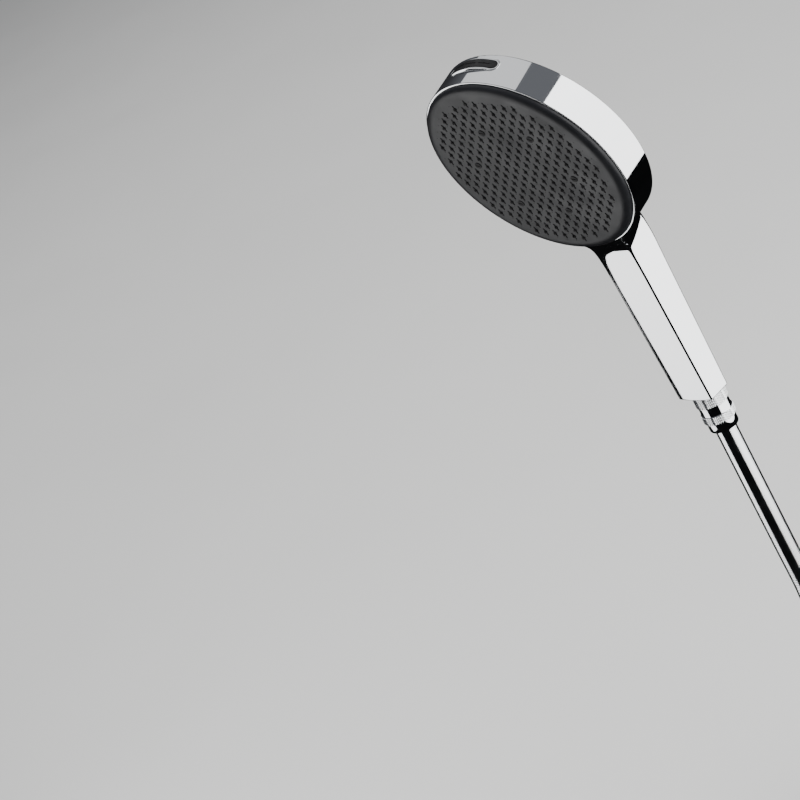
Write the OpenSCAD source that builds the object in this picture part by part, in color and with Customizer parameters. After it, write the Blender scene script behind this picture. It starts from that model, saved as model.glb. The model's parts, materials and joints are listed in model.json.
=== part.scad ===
/* [Head] */
// Diameter of the head's rim
head_d = 150; // [120:1:190]
// Depth of the rim from its front edge to its back edge
rim_depth = 24.5; // [23.5:0.5:34]
// How far the spray tips down from level
head_tilt = 14; // [10:0.5:20]
// Height of the rim's lowest front edge above the handle's end
neck_height = 136; // [120:1:170]
// How far that edge stands in front of the inlet's axis
neck_reach = 29; // [26:0.5:36]
// Wall of the rim and of the back
shell_wall = 2.5; // [2:0.1:3]
// Rise of the domed back over the rim's back edge
back_rise = 3; // [1.5:0.1:6]
// Rounding of the rim's two edges
rim_round = 0.9; // [0.3:0.1:1.2]

/* [Face] */
// Height of the flat nozzle field over the rim's front edge
face_rise = 4.7; // [3.5:0.1:6]
// Width of the rounded shoulder round the field
shoulder_w = 7; // [5.5:0.1:9]
// Thickness of the face plate
face_wall = 2.4; // [2:0.1:3]
// Thin chrome edge of the rim that shows round the face
edge_w = 1.3; // [1:0.1:1.6]
// Distance between neighbouring nozzles
nozzle_pitch = 7.6; // [6.8:0.1:10]
// Turn of the nozzle rows
nozzle_turn = -15; // [-30:1:30]
// Diameter of a nozzle tip
nozzle_d = 2.3; // [1.8:0.1:2.6]
// Diameter of a nozzle's water hole
jet_hole_d = 0.9; // [0.7:0.1:1.1]
// How far the tips stand out of the face
nozzle_proud = 0.8; // [0.4:0.1:1.5]
// Thickness of the nozzle mat's sheet
mat_wall = 1.2; // [0.8:0.1:1.4]
// Nozzle steps from the centre to the six fan jets
fan_steps = 5; // [4:1:6]
// Diameter of a fan-jet insert
fan_d = 5; // [4:0.1:6]

/* [Handle] */
// Width at the lower end
handle_w = 31; // [28:0.5:36]
// Width where it meets the head
handle_top_w = 34; // [30:0.5:40]
// Front face in front of the inlet's axis, at the lower end
handle_front = 13.6; // [12.5:0.1:17]
// Front face in front of the inlet's axis, at the head
handle_top_front = 19; // [16:0.1:23]
// Side walls' rear edge behind the inlet's axis
handle_side = 6.5; // [5:0.1:9]
// Crown of the back behind the inlet's axis
handle_back = 11.8; // [11.6:0.1:15]
// Rounding of the long edges
handle_round = 2.2; // [1.2:0.1:3]
// Wall of the hollow handle
handle_wall = 2.4; // [2:0.1:3]

/* [Button] */
// Length of the button's slot along the rim
slot_l = 44.4; // [36:0.1:50]
// Height of the slot
slot_h = 9.2; // [8:0.1:9.4]
// Gap between the button and its slot
button_gap = 0.15; // [0.1:0.01:0.3]
// How far the middle of the button stands out of the rim
button_proud = 2; // [1:0.1:3]
// Travel of the button
button_travel = 3.5; // [2.5:0.1:3.6]
// Dimples in the grip
dimple_count = 9; // [5:1:11]
// Distance between dimples
dimple_pitch = 3.8; // [3:0.1:4]

/* [Diverter] */
// Module of the rack and pinion
gear_module = 0.9; // [0.8:0.05:1]
// Teeth of the pinion
pinion_teeth = 10; // [9:1:11]
// Radius of the rotor disc
rotor_r = 16.7; // [14:0.1:18]
// Outer radius of the diverter's housing
housing_r = 27; // [25:0.5:30]

/* [Waterway] */
// Outer radius of the water tube
tube_r = 5.8; // [5:0.1:5.9]
// Bore radius of the water tube
tube_bore_r = 4.3; // [3.5:0.1:4.5]
// Crest diameter of the half-inch inlet thread
thread_d = 20.9; // [20.4:0.1:20.95]
// Length of the thread below the handle
thread_l = 11.5; // [9:0.1:12]
// Lift of the check valve's poppet
poppet_lift = 2; // [1:0.1:2.4]

/* [Hose nut] */
// Outer diameter of the knurled bands
nut_d = 24; // [23.6:0.1:28]
// Overall length of the nut
nut_l = 30; // [29:0.5:40]
// Wall thread clearance on the radius
thread_gap = 0.1; // [0.05:0.01:0.2]

/* [Hose] */
// Outer diameter of the hose
hose_d = 16; // [14:0.5:16]
// Middle radius of the coil's turns
coil_r = 88; // [80:1:96]
// Turns of the coil
coil_turns = 2; // [1:1:3]
// Distance between neighbouring turns
coil_pitch = 17; // [16.2:0.1:18]

/* [Hidden] */

$fn = 64;
eps = 0.01;   // overlap that makes a cut clean
fit = 0.05;   // radial clearance of pieces that sit or run in one another

chrome = [0.86, 0.87, 0.88];
dark = [0.13, 0.14, 0.15];
black = [0.04, 0.04, 0.045];
white = [0.86, 0.86, 0.84];
steel = [0.7, 0.71, 0.72];
brass = [0.78, 0.62, 0.32];
blue = [0.16, 0.34, 0.62];

// Head: the middle of the rim's front edge circle, local z along the spray, local y away from the handle
head_r = head_d / 2;
head_y = -neck_reach - head_r * sin(head_tilt);
head_z = neck_height + head_r * cos(head_tilt);
back_z = -rim_depth;
floor_z = back_z + shell_wall;
bore_r = head_r - shell_wall;

// Neck
neck_shift = neck_reach - 29;
hollow_round = 0.8;

// Face plate
plate_r = head_r - edge_w - fit;
field_r = plate_r - shoulder_w;
edge_lift = 0.3;
rebate_z = -4;
skirt_z = rebate_z - 2;
skirt_r = bore_r - fit;
skirt_wall = 2.4;
inner_face_z = face_rise - face_wall;
mat_z = inner_face_z - fit - mat_wall;
mat_r = skirt_r - skirt_wall - 0.3;
hole_gap = 0.1;
field_margin = 3.6;

// Chamber plate
chamber_wall = 2.2;
chamber_r = mat_r;
chamber_floor = 2;
chamber_z = floor_z + 12.5;
chamber_top = mat_z - fit;
zone_r = nozzle_pitch * (fan_steps + 1) + 1;
zone_wall = 1.4;
duct_end = zone_r + zone_wall + 3;
oring_r = 0.72;
oring_mid = skirt_r - skirt_wall - fit - oring_r;

// Engine screws
boss_mid = head_r - 15;
boss_r = 4;
boss_angles = [30, 150, 210, 330];
screw_r = 1.5;
screw_head_r = 2.8;
screw_head_h = 1.8;
screw_deep = 9;

// Button
slot_z = floor_z + 6.5;
slot_r = slot_h / 2;
cap_r = slot_r - button_gap;
cap_half = slot_l / 2 - button_gap;
flange_r = cap_r + 0.5;
flange_half = cap_half + 0.5;
guide_r = flange_r + button_gap;
guide_half = flange_half + button_gap;
frame_wall = 0.85;
frame_r = guide_r + frame_wall;
frame_half = guide_half + frame_wall;
rim_sag = head_r - sqrt(head_r * head_r - cap_half * cap_half);
crown_sag = rim_sag + button_proud;
crown_r = (cap_half * cap_half + crown_sag * crown_sag) / (2 * crown_sag);
cap_top = head_r + button_proud;
flange_top = head_r - shell_wall - (head_r - sqrt(head_r * head_r - frame_half * frame_half)) - 1.2;
flange_h = 2;
cap_floor = flange_top - flange_h;
seat_y = cap_floor - button_travel - 2.5;
seat_h = 2;
well_y = seat_y - 12;
well_r = 5.4;
rod_r = 1.9;
grip_r = cap_r - 1.3;
grip_half = cap_half - 2.1;
grip_deep = 1.6;
grip_low = 0.15;
dimple_r = 0.55;

// Diverter, in the head's frame
pitch_r = gear_module * pinion_teeth / 2;
tooth_out = 0.8;
tooth_in = 1.05;
tooth_w = 0.95;
rack_x = -2;
rotor_x = rack_x - pitch_r;
housing_front = chamber_z - fit;
rotor_z = housing_front - 1.15;
rotor_h = 2.7;
gear_z = slot_z - 1.7;
gear_h = rotor_z - rotor_h - gear_z;
rack_h = 3;
rack_back = 2.5;
rack_low = -9;
rack_high = 10.5;
rod_wall_y = 12;
rotor_cell_r = rotor_r + 0.3;
pinion_cell_r = pitch_r + tooth_out + 1;
pin_r = 1.5;
port_at = 10;
port_r = 2.8;
duct_w = 8;
duct_h = 4.2;
duct_wall = 1.2;
duct_start = rotor_x + port_at - port_r - duct_wall;
small_bore_at = housing_r - 3.7;
small_screw_r = 1.2;
small_head_r = 2.2;
detent_r = 1.75;
detent_at = rotor_r + fit + detent_r;
detent_end = housing_r - 0.3;
seal_r = 0.8;

// Waterway
water_z = floor_z + 0.3 + tube_r;
bend_z = head_z - (-head_y * cos(head_tilt) + water_z) / sin(head_tilt);
bend_y = head_y * sin(head_tilt) + (bend_z - head_z) * cos(head_tilt);
socket_deep = 9;
tube_gap = 0.6;
tube_top_y = -sqrt(housing_r * housing_r - rotor_x * rotor_x) + socket_deep;
nipple_r = 9;
nipple_top = 22;
tube_foot = 12;
valve_bore_r = 7.1;
valve_top = 8.5;
valve_low = -8;
seal_top = 0.55;
washer_h = 1.9;
washer_z = -thread_l - 0.1 - washer_h;
flange_z = washer_z - 0.1;
ferrule_h = 1.8;
ferrule_r = 9.35;
spigot_r = 5.6;
spigot_bore_r = 3.8;
sleeve_in = hose_d / 2 + 0.1;
sleeve_r = sleeve_in + 0.7;
nut_in = sleeve_r + fit;
nut_r = nut_d / 2;
nut_waist_r = nut_r - 0.9;
nut_foot_r = nut_r - 1.4;
nut_edge = 0.4;
nut_top = -0.5;
nut_end = nut_top - nut_l;
upper_band_end = -10.3;
lower_band_start = -17;
lower_band_end = -23.4;
nut_thread_r = thread_d / 2 + thread_gap;
ferrule_room_r = ferrule_r + 0.25;
shoulder_z = flange_z - ferrule_h - fit;
hose_start = -22;

// Hose route: straight down the axis, then a gentle double bend to the side of the coil
coil_x = 45;
coil_z = -308;
tail_y = coil_turns * coil_pitch;
hose_route = [
    [0, 0, hose_start], [0, 0, -50], [0, 0, -80], [0, 0, -110], [0, 0, -140], [0, 0, -168],
    [-1.5, -0.5, -188.5], [-5.6, -1.5, -207.5], [-12.4, -2.5, -224], [-21.5, -3, -238.5],
    [-30.6, -2.5, -253], [-37.4, -1.5, -269.5], [-41.5, -0.5, -288], [-43, 0, -308]
];
tail_route = [[-43, 34, -345], [-43, 34, -368], [-43, 34, -390]];
hose_end = tail_route[len(tail_route) - 1];
tube_sides = 12;

// Helpers
module in_head() { translate([0, head_y, head_z]) rotate([90 + head_tilt, 0, 0]) children(); }

// A bar with round ends, length 2 * half along x, in the xy plane
module pill(half, r) {
    square([2 * (half - r), 2 * r], center = true);
    for (s = [-1, 1]) translate([s * (half - r), 0]) circle(r);
}

// The same bar standing along the head's local y from low to high, at the button's height
module rim_pill(half, r, low, high) {
    translate([0, low, slot_z]) rotate([-90, 0, 0]) linear_extrude(high - low) pill(half, r);
}

module ring(outer, inner, low, high) {
    translate([0, 0, low]) difference() {
        cylinder(r = outer, h = high - low);
        translate([0, 0, -eps]) cylinder(r = inner, h = high - low + 2 * eps);
    }
}

module torus(mid, r) { rotate_extrude() translate([mid, 0]) circle(r, $fn = 32); }

// Close-wound spring drawn as a row of rings along z
module spring(mid, wire, low, high, turns) {
    for (i = [0 : turns - 1])
        translate([0, 0, low + wire + i * (high - low - 2 * wire) / (turns - 1)])
            rotate_extrude() translate([mid, 0]) circle(wire, $fn = 16);
}

// Nozzle lattice inside a radius, without the six fan-jet points
reach = ceil(field_r / nozzle_pitch) + 4;
function lattice(i, j) = nozzle_pitch * [i + j / 2, j * sqrt(3) / 2];
function turned(p, a) = [p[0] * cos(a) - p[1] * sin(a), p[0] * sin(a) + p[1] * cos(a)];
fan_points = [for (k = [0 : 5]) nozzle_pitch * fan_steps * [cos(60 * k + nozzle_turn), sin(60 * k + nozzle_turn)]];
nozzle_points = [
    for (i = [-2 * reach : 2 * reach], j = [-reach : reach])
        let (p = turned(lattice(i, j), nozzle_turn))
            if (norm(p) < field_r - field_margin && min([for (f = fan_points) norm(p - f)]) > nozzle_pitch / 2) p
];
module at_nozzles() { for (p = nozzle_points) translate(p) children(); }
module at_fans() { for (p = fan_points) translate(p) children(); }

// Tube swept along points, each ring square to the route
function unit(v) = v / norm(v);
function heading(pts, i) = unit(pts[min(i + 1, len(pts) - 1)] - pts[max(i - 1, 0)]);
function ring_points(c, t, r, sides) =
    let (u = unit(cross([0, 1, 0], t)), v = cross(t, u))
        [for (k = [0 : sides - 1]) c + r * (cos(360 * k / sides) * u + sin(360 * k / sides) * v)];
module swept_tube(pts, r, sides) {
    skin([for (i = [0 : len(pts) - 1]) ring_points(pts[i], heading(pts, i), r, sides)]);
}

// Closed skin over rings of points, each ring counterclockwise seen from the last one's side
module skin(rings) {
    n = len(rings);
    m = len(rings[0]);
    walls = [for (i = [0 : n - 2], k = [0 : m - 1])
        let (p = i * m + k, q = i * m + (k + 1) % m) each [[p, p + m, q + m], [p, q + m, q]]];
    ends = [[for (k = [0 : m - 1]) k], [for (k = [m - 1 : -1 : 0]) (n - 1) * m + k]];
    polyhedron(points = [for (r = rings) each r], faces = concat(walls, ends));
}

// Shell
function arc(c, r, from, to, steps) =
    [for (k = [0 : steps]) let (a = from + (to - from) * k / steps) c + r * [cos(a), sin(a)]];

// Outline of the handle: rounded front and side corners and a crowned back, reaching front, side and back
function outline(w, front, side, back, corner, crown) =
    let (x = w / 2 - corner, y = side - corner,
         lean = atan2(y - back + crown, x) + acos((crown - corner) / norm([x, y - back + crown])))
        concat(
            arc([x, corner - front], corner, -90, 0, 4), arc([x, y], corner, 0, lean, 4),
            arc([0, back - crown], crown, lean, 180 - lean, 10),
            arc([-x, y], corner, 180 - lean, 180, 4), arc([-x, corner - front], corner, 180, 270, 4)
        );

// The outline lifted to one height at its front and another at its back
function level_ring(s) = [for (p = outline(s[2], s[3], s[4], s[5], s[6], s[7]))
    [p[0], p[1], s[0] + (s[1] - s[0]) * (p[1] + s[3]) / (s[3] + s[5])]];

function handle_share(z) = z / (neck_height + 4);
function width_at(z) = handle_w + (handle_top_w - handle_w) * handle_share(z);
function front_at(z) = handle_front + (handle_top_front - handle_front) * handle_share(z);
function bar_station(z) = [z, z, width_at(z), front_at(z), handle_side, handle_back, handle_round, width_at(z) / 3.2];
function hollow_station(z) = [z, z, width_at(z) - 2 * handle_wall, front_at(z) - handle_wall,
    handle_side - handle_wall, handle_back - handle_wall, hollow_round, width_at(z) / 3.2 - handle_wall];

// Stations of the neck, from its start to inside the head: heights at front and back, width,
// front, side, back, corner, crown
neck_stations = [for (s = [
    [-28, -28, 0, 0.2, 0, 0, 0], [-18, -15, 0.4, 0.6, 0, -0.2, 0.4], [-11, -5, 2, 1.4, -0.9, -1.2, 0.8],
    [-6, 6, 5.5, 3.4, -3.2, -4.4, 1.4], [-1.5, 18, 12, 7, -9, -10.6, 2], [2.5, 30, 19, 9.2, -15.5, -18, 2.6],
    [7, 40, 24, 10.2, -21, -25.3, 3]
]) [neck_height + s[0], neck_height + s[1], handle_top_w + s[2], handle_top_front + s[3] + neck_shift,
    handle_side + s[4], handle_back + s[5], handle_round + s[6], (handle_top_w + s[2]) / 3.2]];

module handle_bar() {
    skin([for (s = concat([bar_station(0), bar_station(neck_height - 36)], neck_stations)) level_ring(s)]);
}

// Half section of the cup with its domed back
dome_steps = 6;
dome_edge = head_r - rim_round;
dome_r = (dome_edge * dome_edge + back_rise * back_rise) / (2 * back_rise);
module cup_outline() {
    dome = [for (k = [0 : dome_steps])
        let (x = dome_edge * k / dome_steps)
            [x, back_z - back_rise + dome_r - sqrt(dome_r * dome_r - x * x)]];
    rotate_extrude($fn = 180) polygon(concat(dome, [
        [head_r, back_z + rim_round], [head_r, -rim_round / 2], [head_r - rim_round / 2, 0], [0, 0]
    ]));
}

module body_shell() {
    color(chrome) difference() {
        union() {
            handle_bar();
            in_head() cup_outline();
        }
        // hollow of the handle, clear of the solid foot and the head
        skin([for (z = [nipple_top + 6, neck_height - 30]) level_ring(hollow_station(z))]);
        translate([0, 0, -1]) cylinder(r = nipple_r + fit, h = nipple_top + fit + 1);
        translate([0, 0, 1]) cylinder(r = tube_r + tube_gap, h = bend_z - 1);
        in_head() {
            difference() {
                translate([0, 0, floor_z]) cylinder(r = bore_r, h = rim_depth);
                for (a = boss_angles) rotate(a) translate([boss_mid, 0, floor_z - 1])
                    cylinder(r = boss_r, h = chamber_z - floor_z + 1 - fit);
            }
            for (a = boss_angles) rotate(a) translate([boss_mid, 0, chamber_z - screw_deep])
                cylinder(r = screw_r + fit, h = screw_deep + 1);
            translate([0, 0, rebate_z]) cylinder(r = head_r - edge_w, h = 10);
            rim_pill(slot_l / 2, slot_r, head_r - 20, head_r + 10);
            translate([0, bend_y, water_z]) rotate([-90, 0, 0]) cylinder(r = tube_r + tube_gap, h = -bend_y - 20);
            translate([0, bend_y, water_z]) sphere(tube_r + tube_gap);
        }
    }
}

// Face
shoulder_steps = 8;
module face_plate() {
    shoulder = [for (k = [0 : shoulder_steps])
        let (a = 90 * k / shoulder_steps)
            [field_r + shoulder_w * cos(a), edge_lift + (face_rise - edge_lift) * sin(a)]];
    rim_in = skirt_r - skirt_wall;
    color(dark) in_head() {
        rotate_extrude($fn = 180) polygon(concat(
            [[field_r - 2, inner_face_z], [rim_in, inner_face_z], [rim_in, skirt_z], [skirt_r, skirt_z],
             [skirt_r, rebate_z + fit], [plate_r, rebate_z + fit]],
            shoulder, [[field_r - 2, face_rise]]));
        translate([0, 0, inner_face_z]) linear_extrude(face_wall) difference() {
            circle(field_r - 2, $fn = 180);
            at_nozzles() circle(nozzle_d / 2 + hole_gap, $fn = 16);
            at_fans() circle(fan_d / 2 + fit, $fn = 32);
        }
    }
}

module nozzle_mat() {
    color(black) in_head() {
        translate([0, 0, mat_z]) linear_extrude(mat_wall) difference() {
            circle(mat_r, $fn = 180);
            at_nozzles() circle(jet_hole_d / 2, $fn = 16);
            at_fans() circle(fan_d / 2 + fit, $fn = 32);
        }
        translate([0, 0, mat_z + mat_wall]) linear_extrude(face_rise + nozzle_proud - mat_z - mat_wall)
            at_nozzles() difference() {
                circle(nozzle_d / 2, $fn = 16);
                circle(jet_hole_d / 2, $fn = 16);
            }
    }
}

module fan_jets() {
    low = mat_z - 0.9;
    color(black) in_head() at_fans() difference() {
        union() {
            translate([0, 0, low]) cylinder(r = fan_d / 2 + 0.9, h = 0.85);
            translate([0, 0, low]) cylinder(r = fan_d / 2, h = face_rise + nozzle_proud / 2 - low);
        }
        translate([0, 0, low - 1]) cylinder(r = fan_d / 2 - 1.1, h = face_rise - low);
        rotate(nozzle_turn) cube([fan_d - 1.4, 0.8, 40], center = true);
    }
}

module chamber_plate() {
    color(white) in_head() difference() {
        union() {
            translate([0, 0, chamber_z]) cylinder(r = chamber_r, h = chamber_floor);
            ring(chamber_r, chamber_r - chamber_wall, chamber_z, chamber_top);
            ring(zone_r + zone_wall, zone_r, chamber_z, chamber_top);
            // covered duct from the second port to the outer zone
            translate([duct_start, -duct_w / 2, chamber_z]) cube([duct_end - duct_start, duct_w, duct_h]);
        }
        translate([duct_start + duct_wall, duct_wall - duct_w / 2, chamber_z + 1])
            cube([duct_end - duct_start, duct_w - 2 * duct_wall, duct_h - duct_wall - 1]);
        for (a = boss_angles) rotate(a) translate([boss_mid, 0, chamber_z - 1])
            cylinder(r = screw_r + fit, h = chamber_floor + 2);
        translate([rotor_x, 0, 0]) {
            for (a = [0, 45]) rotate(a) translate([port_at, 0, chamber_z - 1])
                cylinder(r = port_r, h = chamber_floor + 2);
            translate([0, 0, chamber_z - eps]) cylinder(r = pin_r + fit, h = 1.2);
            for (a = [45 : 90 : 315]) rotate(a) translate([small_bore_at, 0, chamber_z - 1])
                cylinder(r = small_screw_r + fit, h = 2.4);
        }
        ring(chamber_r + 1, oring_mid - oring_r - fit, -4 - oring_r - 0.2, -4 + oring_r + 0.2);
    }
}

module chamber_oring() { color(black) in_head() translate([0, 0, -4]) torus(oring_mid, oring_r); }

module engine_screws() {
    top = chamber_z + chamber_floor + fit;
    color(steel) in_head() for (a = boss_angles) rotate(a) translate([boss_mid, 0, top]) difference() {
        union() {
            cylinder(r = screw_head_r, h = screw_head_h);
            translate([0, 0, -screw_deep]) cylinder(r = screw_r, h = screw_deep);
        }
        translate([0, 0, screw_head_h - 1]) cylinder(r = 1.4, h = 2, $fn = 6);
    }
}

// Diverter
module at_rotor() { in_head() translate([rotor_x, 0, 0]) children(); }

module diverter_housing() {
    low = floor_z + fit;
    color(white) at_rotor() difference() {
        translate([0, 0, low]) cylinder(r = housing_r, h = housing_front - low);
        translate([0, 0, rotor_z - rotor_h - 0.2]) cylinder(r = rotor_cell_r, h = 10);
        translate([0, 0, gear_z - 0.3]) cylinder(r = pinion_cell_r, h = 10);
        translate([0, 0, gear_z - 2.5]) cylinder(r = pin_r + fit, h = 10);
        // channel of the rack
        translate([-rotor_x + rack_x - tooth_out - 0.5, rack_low - button_travel - 0.8, gear_z - 0.3])
            cube([rack_back - rack_x + tooth_out + 1, rod_wall_y - rack_low + button_travel + 0.8, rack_h + 0.6]);
        translate([-rotor_x, 0, slot_z]) rotate([-90, 0, 0]) {
            cylinder(r = rod_r + 0.1, h = housing_r + 5);
            translate([0, 0, 19]) cylinder(r = 3.7, h = 1.8);
        }
        // water socket
        translate([-rotor_x, 0, water_z]) rotate([90, 0, 0]) {
            cylinder(r = 4, h = housing_r);
            translate([0, 0, -tube_top_y - fit]) cylinder(r = tube_r + fit, h = housing_r);
        }
        for (a = [45 : 90 : 315]) rotate(a) translate([small_bore_at, 0, floor_z - 1]) {
            cylinder(r = small_screw_r + fit, h = 30);
            cylinder(r = small_head_r + 0.15, h = 3);
        }
        // detent bore
        translate([0, 0, rotor_z - rotor_h / 2]) rotate([0, -90, 0])
            translate([0, 0, rotor_r - 1]) cylinder(r = detent_r + fit, h = detent_end - rotor_r + 1);
    }
}

module housing_screws() {
    low = floor_z + 0.4;
    color(steel) at_rotor() for (a = [45 : 90 : 315]) rotate(a) translate([small_bore_at, 0, low]) difference() {
        union() {
            cylinder(r = small_head_r, h = 1.5);
            cylinder(r = small_screw_r, h = chamber_z + 1.1 - low);
        }
        translate([0, 0, -1]) cylinder(r = 1, h = 1.8, $fn = 6);
    }
}

module diverter_rotor() {
    color(blue) at_rotor() difference() {
        translate([0, 0, rotor_z - rotor_h]) cylinder(r = rotor_r, h = rotor_h);
        translate([0, 0, rotor_z - rotor_h - 1]) cylinder(r = pin_r + fit, h = rotor_h + 2);
        rotate(45) translate([port_at, 0, rotor_z - rotor_h - 1]) cylinder(r = port_r - 0.6, h = rotor_h + 2);
        for (a = [0 : 45 : 315]) rotate(a) translate([-detent_at, 0, rotor_z - rotor_h / 2])
            sphere(detent_r + 0.6, $fn = 48);
    }
}

module tooth(tip, root) {
    polygon([[root, -tooth_w], [tip, -tooth_w / 2.4], [tip, tooth_w / 2.4], [root, tooth_w]] );
}

module rotor_pinion() {
    color(white) at_rotor() translate([0, 0, gear_z]) difference() {
        linear_extrude(gear_h) {
            circle(pitch_r - tooth_in);
            for (k = [0 : pinion_teeth - 1]) rotate(360 * (k + 0.5) / pinion_teeth)
                tooth(pitch_r + tooth_out - 0.1, pitch_r - tooth_in - 0.3);
        }
        translate([0, 0, -1]) cylinder(r = pin_r + fit, h = gear_h + 2);
    }
}

module rotor_pin() {
    low = gear_z - 2.4;
    color(steel) at_rotor() translate([0, 0, low]) cylinder(r = pin_r, h = chamber_z + 1.1 - low);
}

module port_seal() {
    color(black) at_rotor() rotate(45) translate([port_at, 0, 0])
        ring(port_r + 1.2, port_r - 0.6, rotor_z, chamber_z - fit);
}

module detent_ball() {
    color(steel) at_rotor() translate([-detent_at, 0, rotor_z - rotor_h / 2]) sphere(detent_r);
}

module detent_spring() {
    color(steel) at_rotor() translate([0, 0, rotor_z - rotor_h / 2]) rotate([0, -90, 0])
        spring(1.2, 0.25, detent_at + detent_r, detent_end - fit, 6);
}

module rod_seal() {
    color(black) in_head() translate([0, 19.9, slot_z]) rotate([-90, 0, 0]) torus(rod_r + fit + seal_r, seal_r);
}

// Button
// Cylinder that gives the button its bulged outer face
module crown(less) {
    translate([0, cap_top - crown_r, slot_z - 20]) cylinder(r = crown_r - less, h = 40, $fn = 180);
}

module button_cap() {
    color(chrome) in_head() difference() {
        union() {
            intersection() {
                rim_pill(cap_half, cap_r, cap_floor, cap_top + 1);
                crown(0);
            }
            rim_pill(flange_half, flange_r, cap_floor, flange_top);
        }
        difference() {
            rim_pill(grip_half + fit, grip_r + fit, cap_floor + 3, cap_top + 2);
            crown(grip_deep);
        }
        translate([0, cap_floor - 1, slot_z]) rotate([-90, 0, 0]) cylinder(r = rod_r + fit, h = 5);
    }
}

module button_insert() {
    color(black) in_head() difference() {
        intersection() {
            rim_pill(grip_half, grip_r, cap_floor + 3, cap_top + 2);
            crown(grip_low);
        }
        crown(grip_deep - fit);
        for (k = [0 : dimple_count - 1]) {
            x = (k - (dimple_count - 1) / 2) * dimple_pitch;
            y = cap_top - crown_r + sqrt(crown_r * crown_r - x * x);
            translate([x, y - 0.7, slot_z]) rotate([-90, 0, 0]) cylinder(r = dimple_r, h = 3, $fn = 24);
        }
    }
}

module push_rod() {
    color(steel) in_head() {
        translate([0, rack_high, slot_z]) rotate([-90, 0, 0]) cylinder(r = rod_r, h = cap_floor + 3.9 - rack_high);
        translate([0, 0, gear_z]) linear_extrude(rack_h) {
            translate([rack_x + tooth_in, rack_low]) square([rack_back - rack_x - tooth_in, rack_high - rack_low]);
            for (k = [-2 : 3]) translate([rack_x, k * PI * gear_module]) rotate(180)
                tooth(tooth_out - 0.1, -tooth_in - 0.3);
        }
    }
}

module button_frame() {
    color(white) in_head() difference() {
        union() {
            intersection() {
                rim_pill(frame_half, frame_r, seat_y, head_r);
                translate([0, 0, floor_z - 5]) cylinder(r = bore_r - fit, h = 60, $fn = 180);
            }
            translate([0, well_y, slot_z]) rotate([-90, 0, 0]) cylinder(r = well_r, h = seat_y - well_y + 1);
        }
        rim_pill(guide_half, guide_r, seat_y + seat_h, head_r + 5);
        translate([0, well_y + 1.5, slot_z]) rotate([-90, 0, 0]) cylinder(r = well_r - 1.2, h = 40);
        translate([0, well_y - 1, slot_z]) rotate([-90, 0, 0]) cylinder(r = rod_r + 0.1, h = 10);
    }
}

module button_spring() {
    color(steel) in_head() translate([0, 0, slot_z]) rotate([-90, 0, 0])
        spring(rod_r + 1.1, 0.35, well_y + 1.5, cap_floor, 9);
}

// Waterway
module tube_line(r) {
    translate([0, 0, tube_foot]) cylinder(r = r, h = bend_z - tube_foot);
    in_head() {
        translate([0, bend_y, water_z]) sphere(r);
        translate([0, bend_y, water_z]) rotate([-90, 0, 0]) cylinder(r = r, h = tube_top_y - bend_y);
    }
}

tube_ring_z = nipple_top - 4;
tube_ring_y = tube_top_y - 4;
module water_tube() {
    color(white) difference() {
        tube_line(tube_r);
        tube_line(tube_bore_r);
        translate([0, 0, tube_foot - 1]) cylinder(r = tube_bore_r, h = 2);
        in_head() translate([0, tube_top_y - 1, water_z]) rotate([-90, 0, 0]) cylinder(r = tube_bore_r, h = 2);
        ring(tube_r + 1, tube_r - 0.8, tube_ring_z - 0.9, tube_ring_z + 0.9);
        in_head() translate([0, tube_ring_y, water_z]) rotate([-90, 0, 0]) ring(tube_r + 1, tube_r - 0.8, -0.9, 0.9);
    }
}

module tube_orings() {
    r = 0.4;
    mid = tube_r - 0.8 + r + fit / 2;
    color(black) {
        translate([0, 0, tube_ring_z]) torus(mid, r);
        in_head() translate([0, tube_ring_y, water_z]) rotate([-90, 0, 0]) torus(mid, r);
    }
}

nipple_ring_z = 15;
module inlet_nipple() {
    color(chrome) difference() {
        union() {
            translate([0, 0, -thread_l]) cylinder(r = thread_d / 2, h = thread_l - fit);
            translate([0, 0, -1]) cylinder(r = nipple_r, h = nipple_top + 1);
        }
        translate([0, 0, -thread_l - 1]) cylinder(r = valve_bore_r, h = thread_l + 1 + valve_top);
        cylinder(r = tube_bore_r, h = 30);
        translate([0, 0, tube_foot - fit]) cylinder(r = tube_r + fit, h = 30);
        ring(nipple_r + 1, nipple_r - 0.9, nipple_ring_z - 0.8, nipple_ring_z + 0.8);
    }
}

module nipple_oring() { color(black) translate([0, 0, nipple_ring_z]) torus(nipple_r - 0.4, 0.43); }

valve_floor = 1.5;
valve_room_r = 5.3;
guide_z = 5;
guide_h = 2.2;
guide_arm = 1.2;
module check_valve_body() {
    color(white) {
        difference() {
            translate([0, 0, valve_low]) cylinder(r = valve_bore_r - fit, h = valve_top - valve_low - fit);
            translate([0, 0, valve_low - 1]) cylinder(r = valve_room_r - 1.4, h = 2 * valve_floor);
            translate([0, 0, valve_low + valve_floor]) cylinder(r = valve_room_r, h = 30);
        }
        translate([0, 0, guide_z]) difference() {
            union() {
                cylinder(r = 2.4, h = guide_h);
                for (a = [0, 90]) rotate(a) translate([-valve_room_r - 0.2, -guide_arm / 2, 0])
                    cube([2 * valve_room_r + 0.4, guide_arm, guide_h]);
            }
            translate([0, 0, -1]) cylinder(r = stem_r + 0.1, h = guide_h + 2);
        }
    }
}

poppet_z = valve_low + valve_floor + seal_top;
poppet_r = 4.7;
poppet_h = 1.3;
stem_r = 1.2;
hub_r = 1.5;
module check_poppet() {
    color(blue) translate([0, 0, poppet_z]) {
        cylinder(r = poppet_r, h = poppet_h);
        cylinder(r = stem_r, h = guide_z + 2 - poppet_z);
        translate([0, 0, -1]) cylinder(r = hub_r, h = 1.1);
    }
}

module poppet_seal() {
    color(black) ring(poppet_r, hub_r + fit, poppet_z - seal_top + fit / 2, poppet_z);
}

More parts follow.
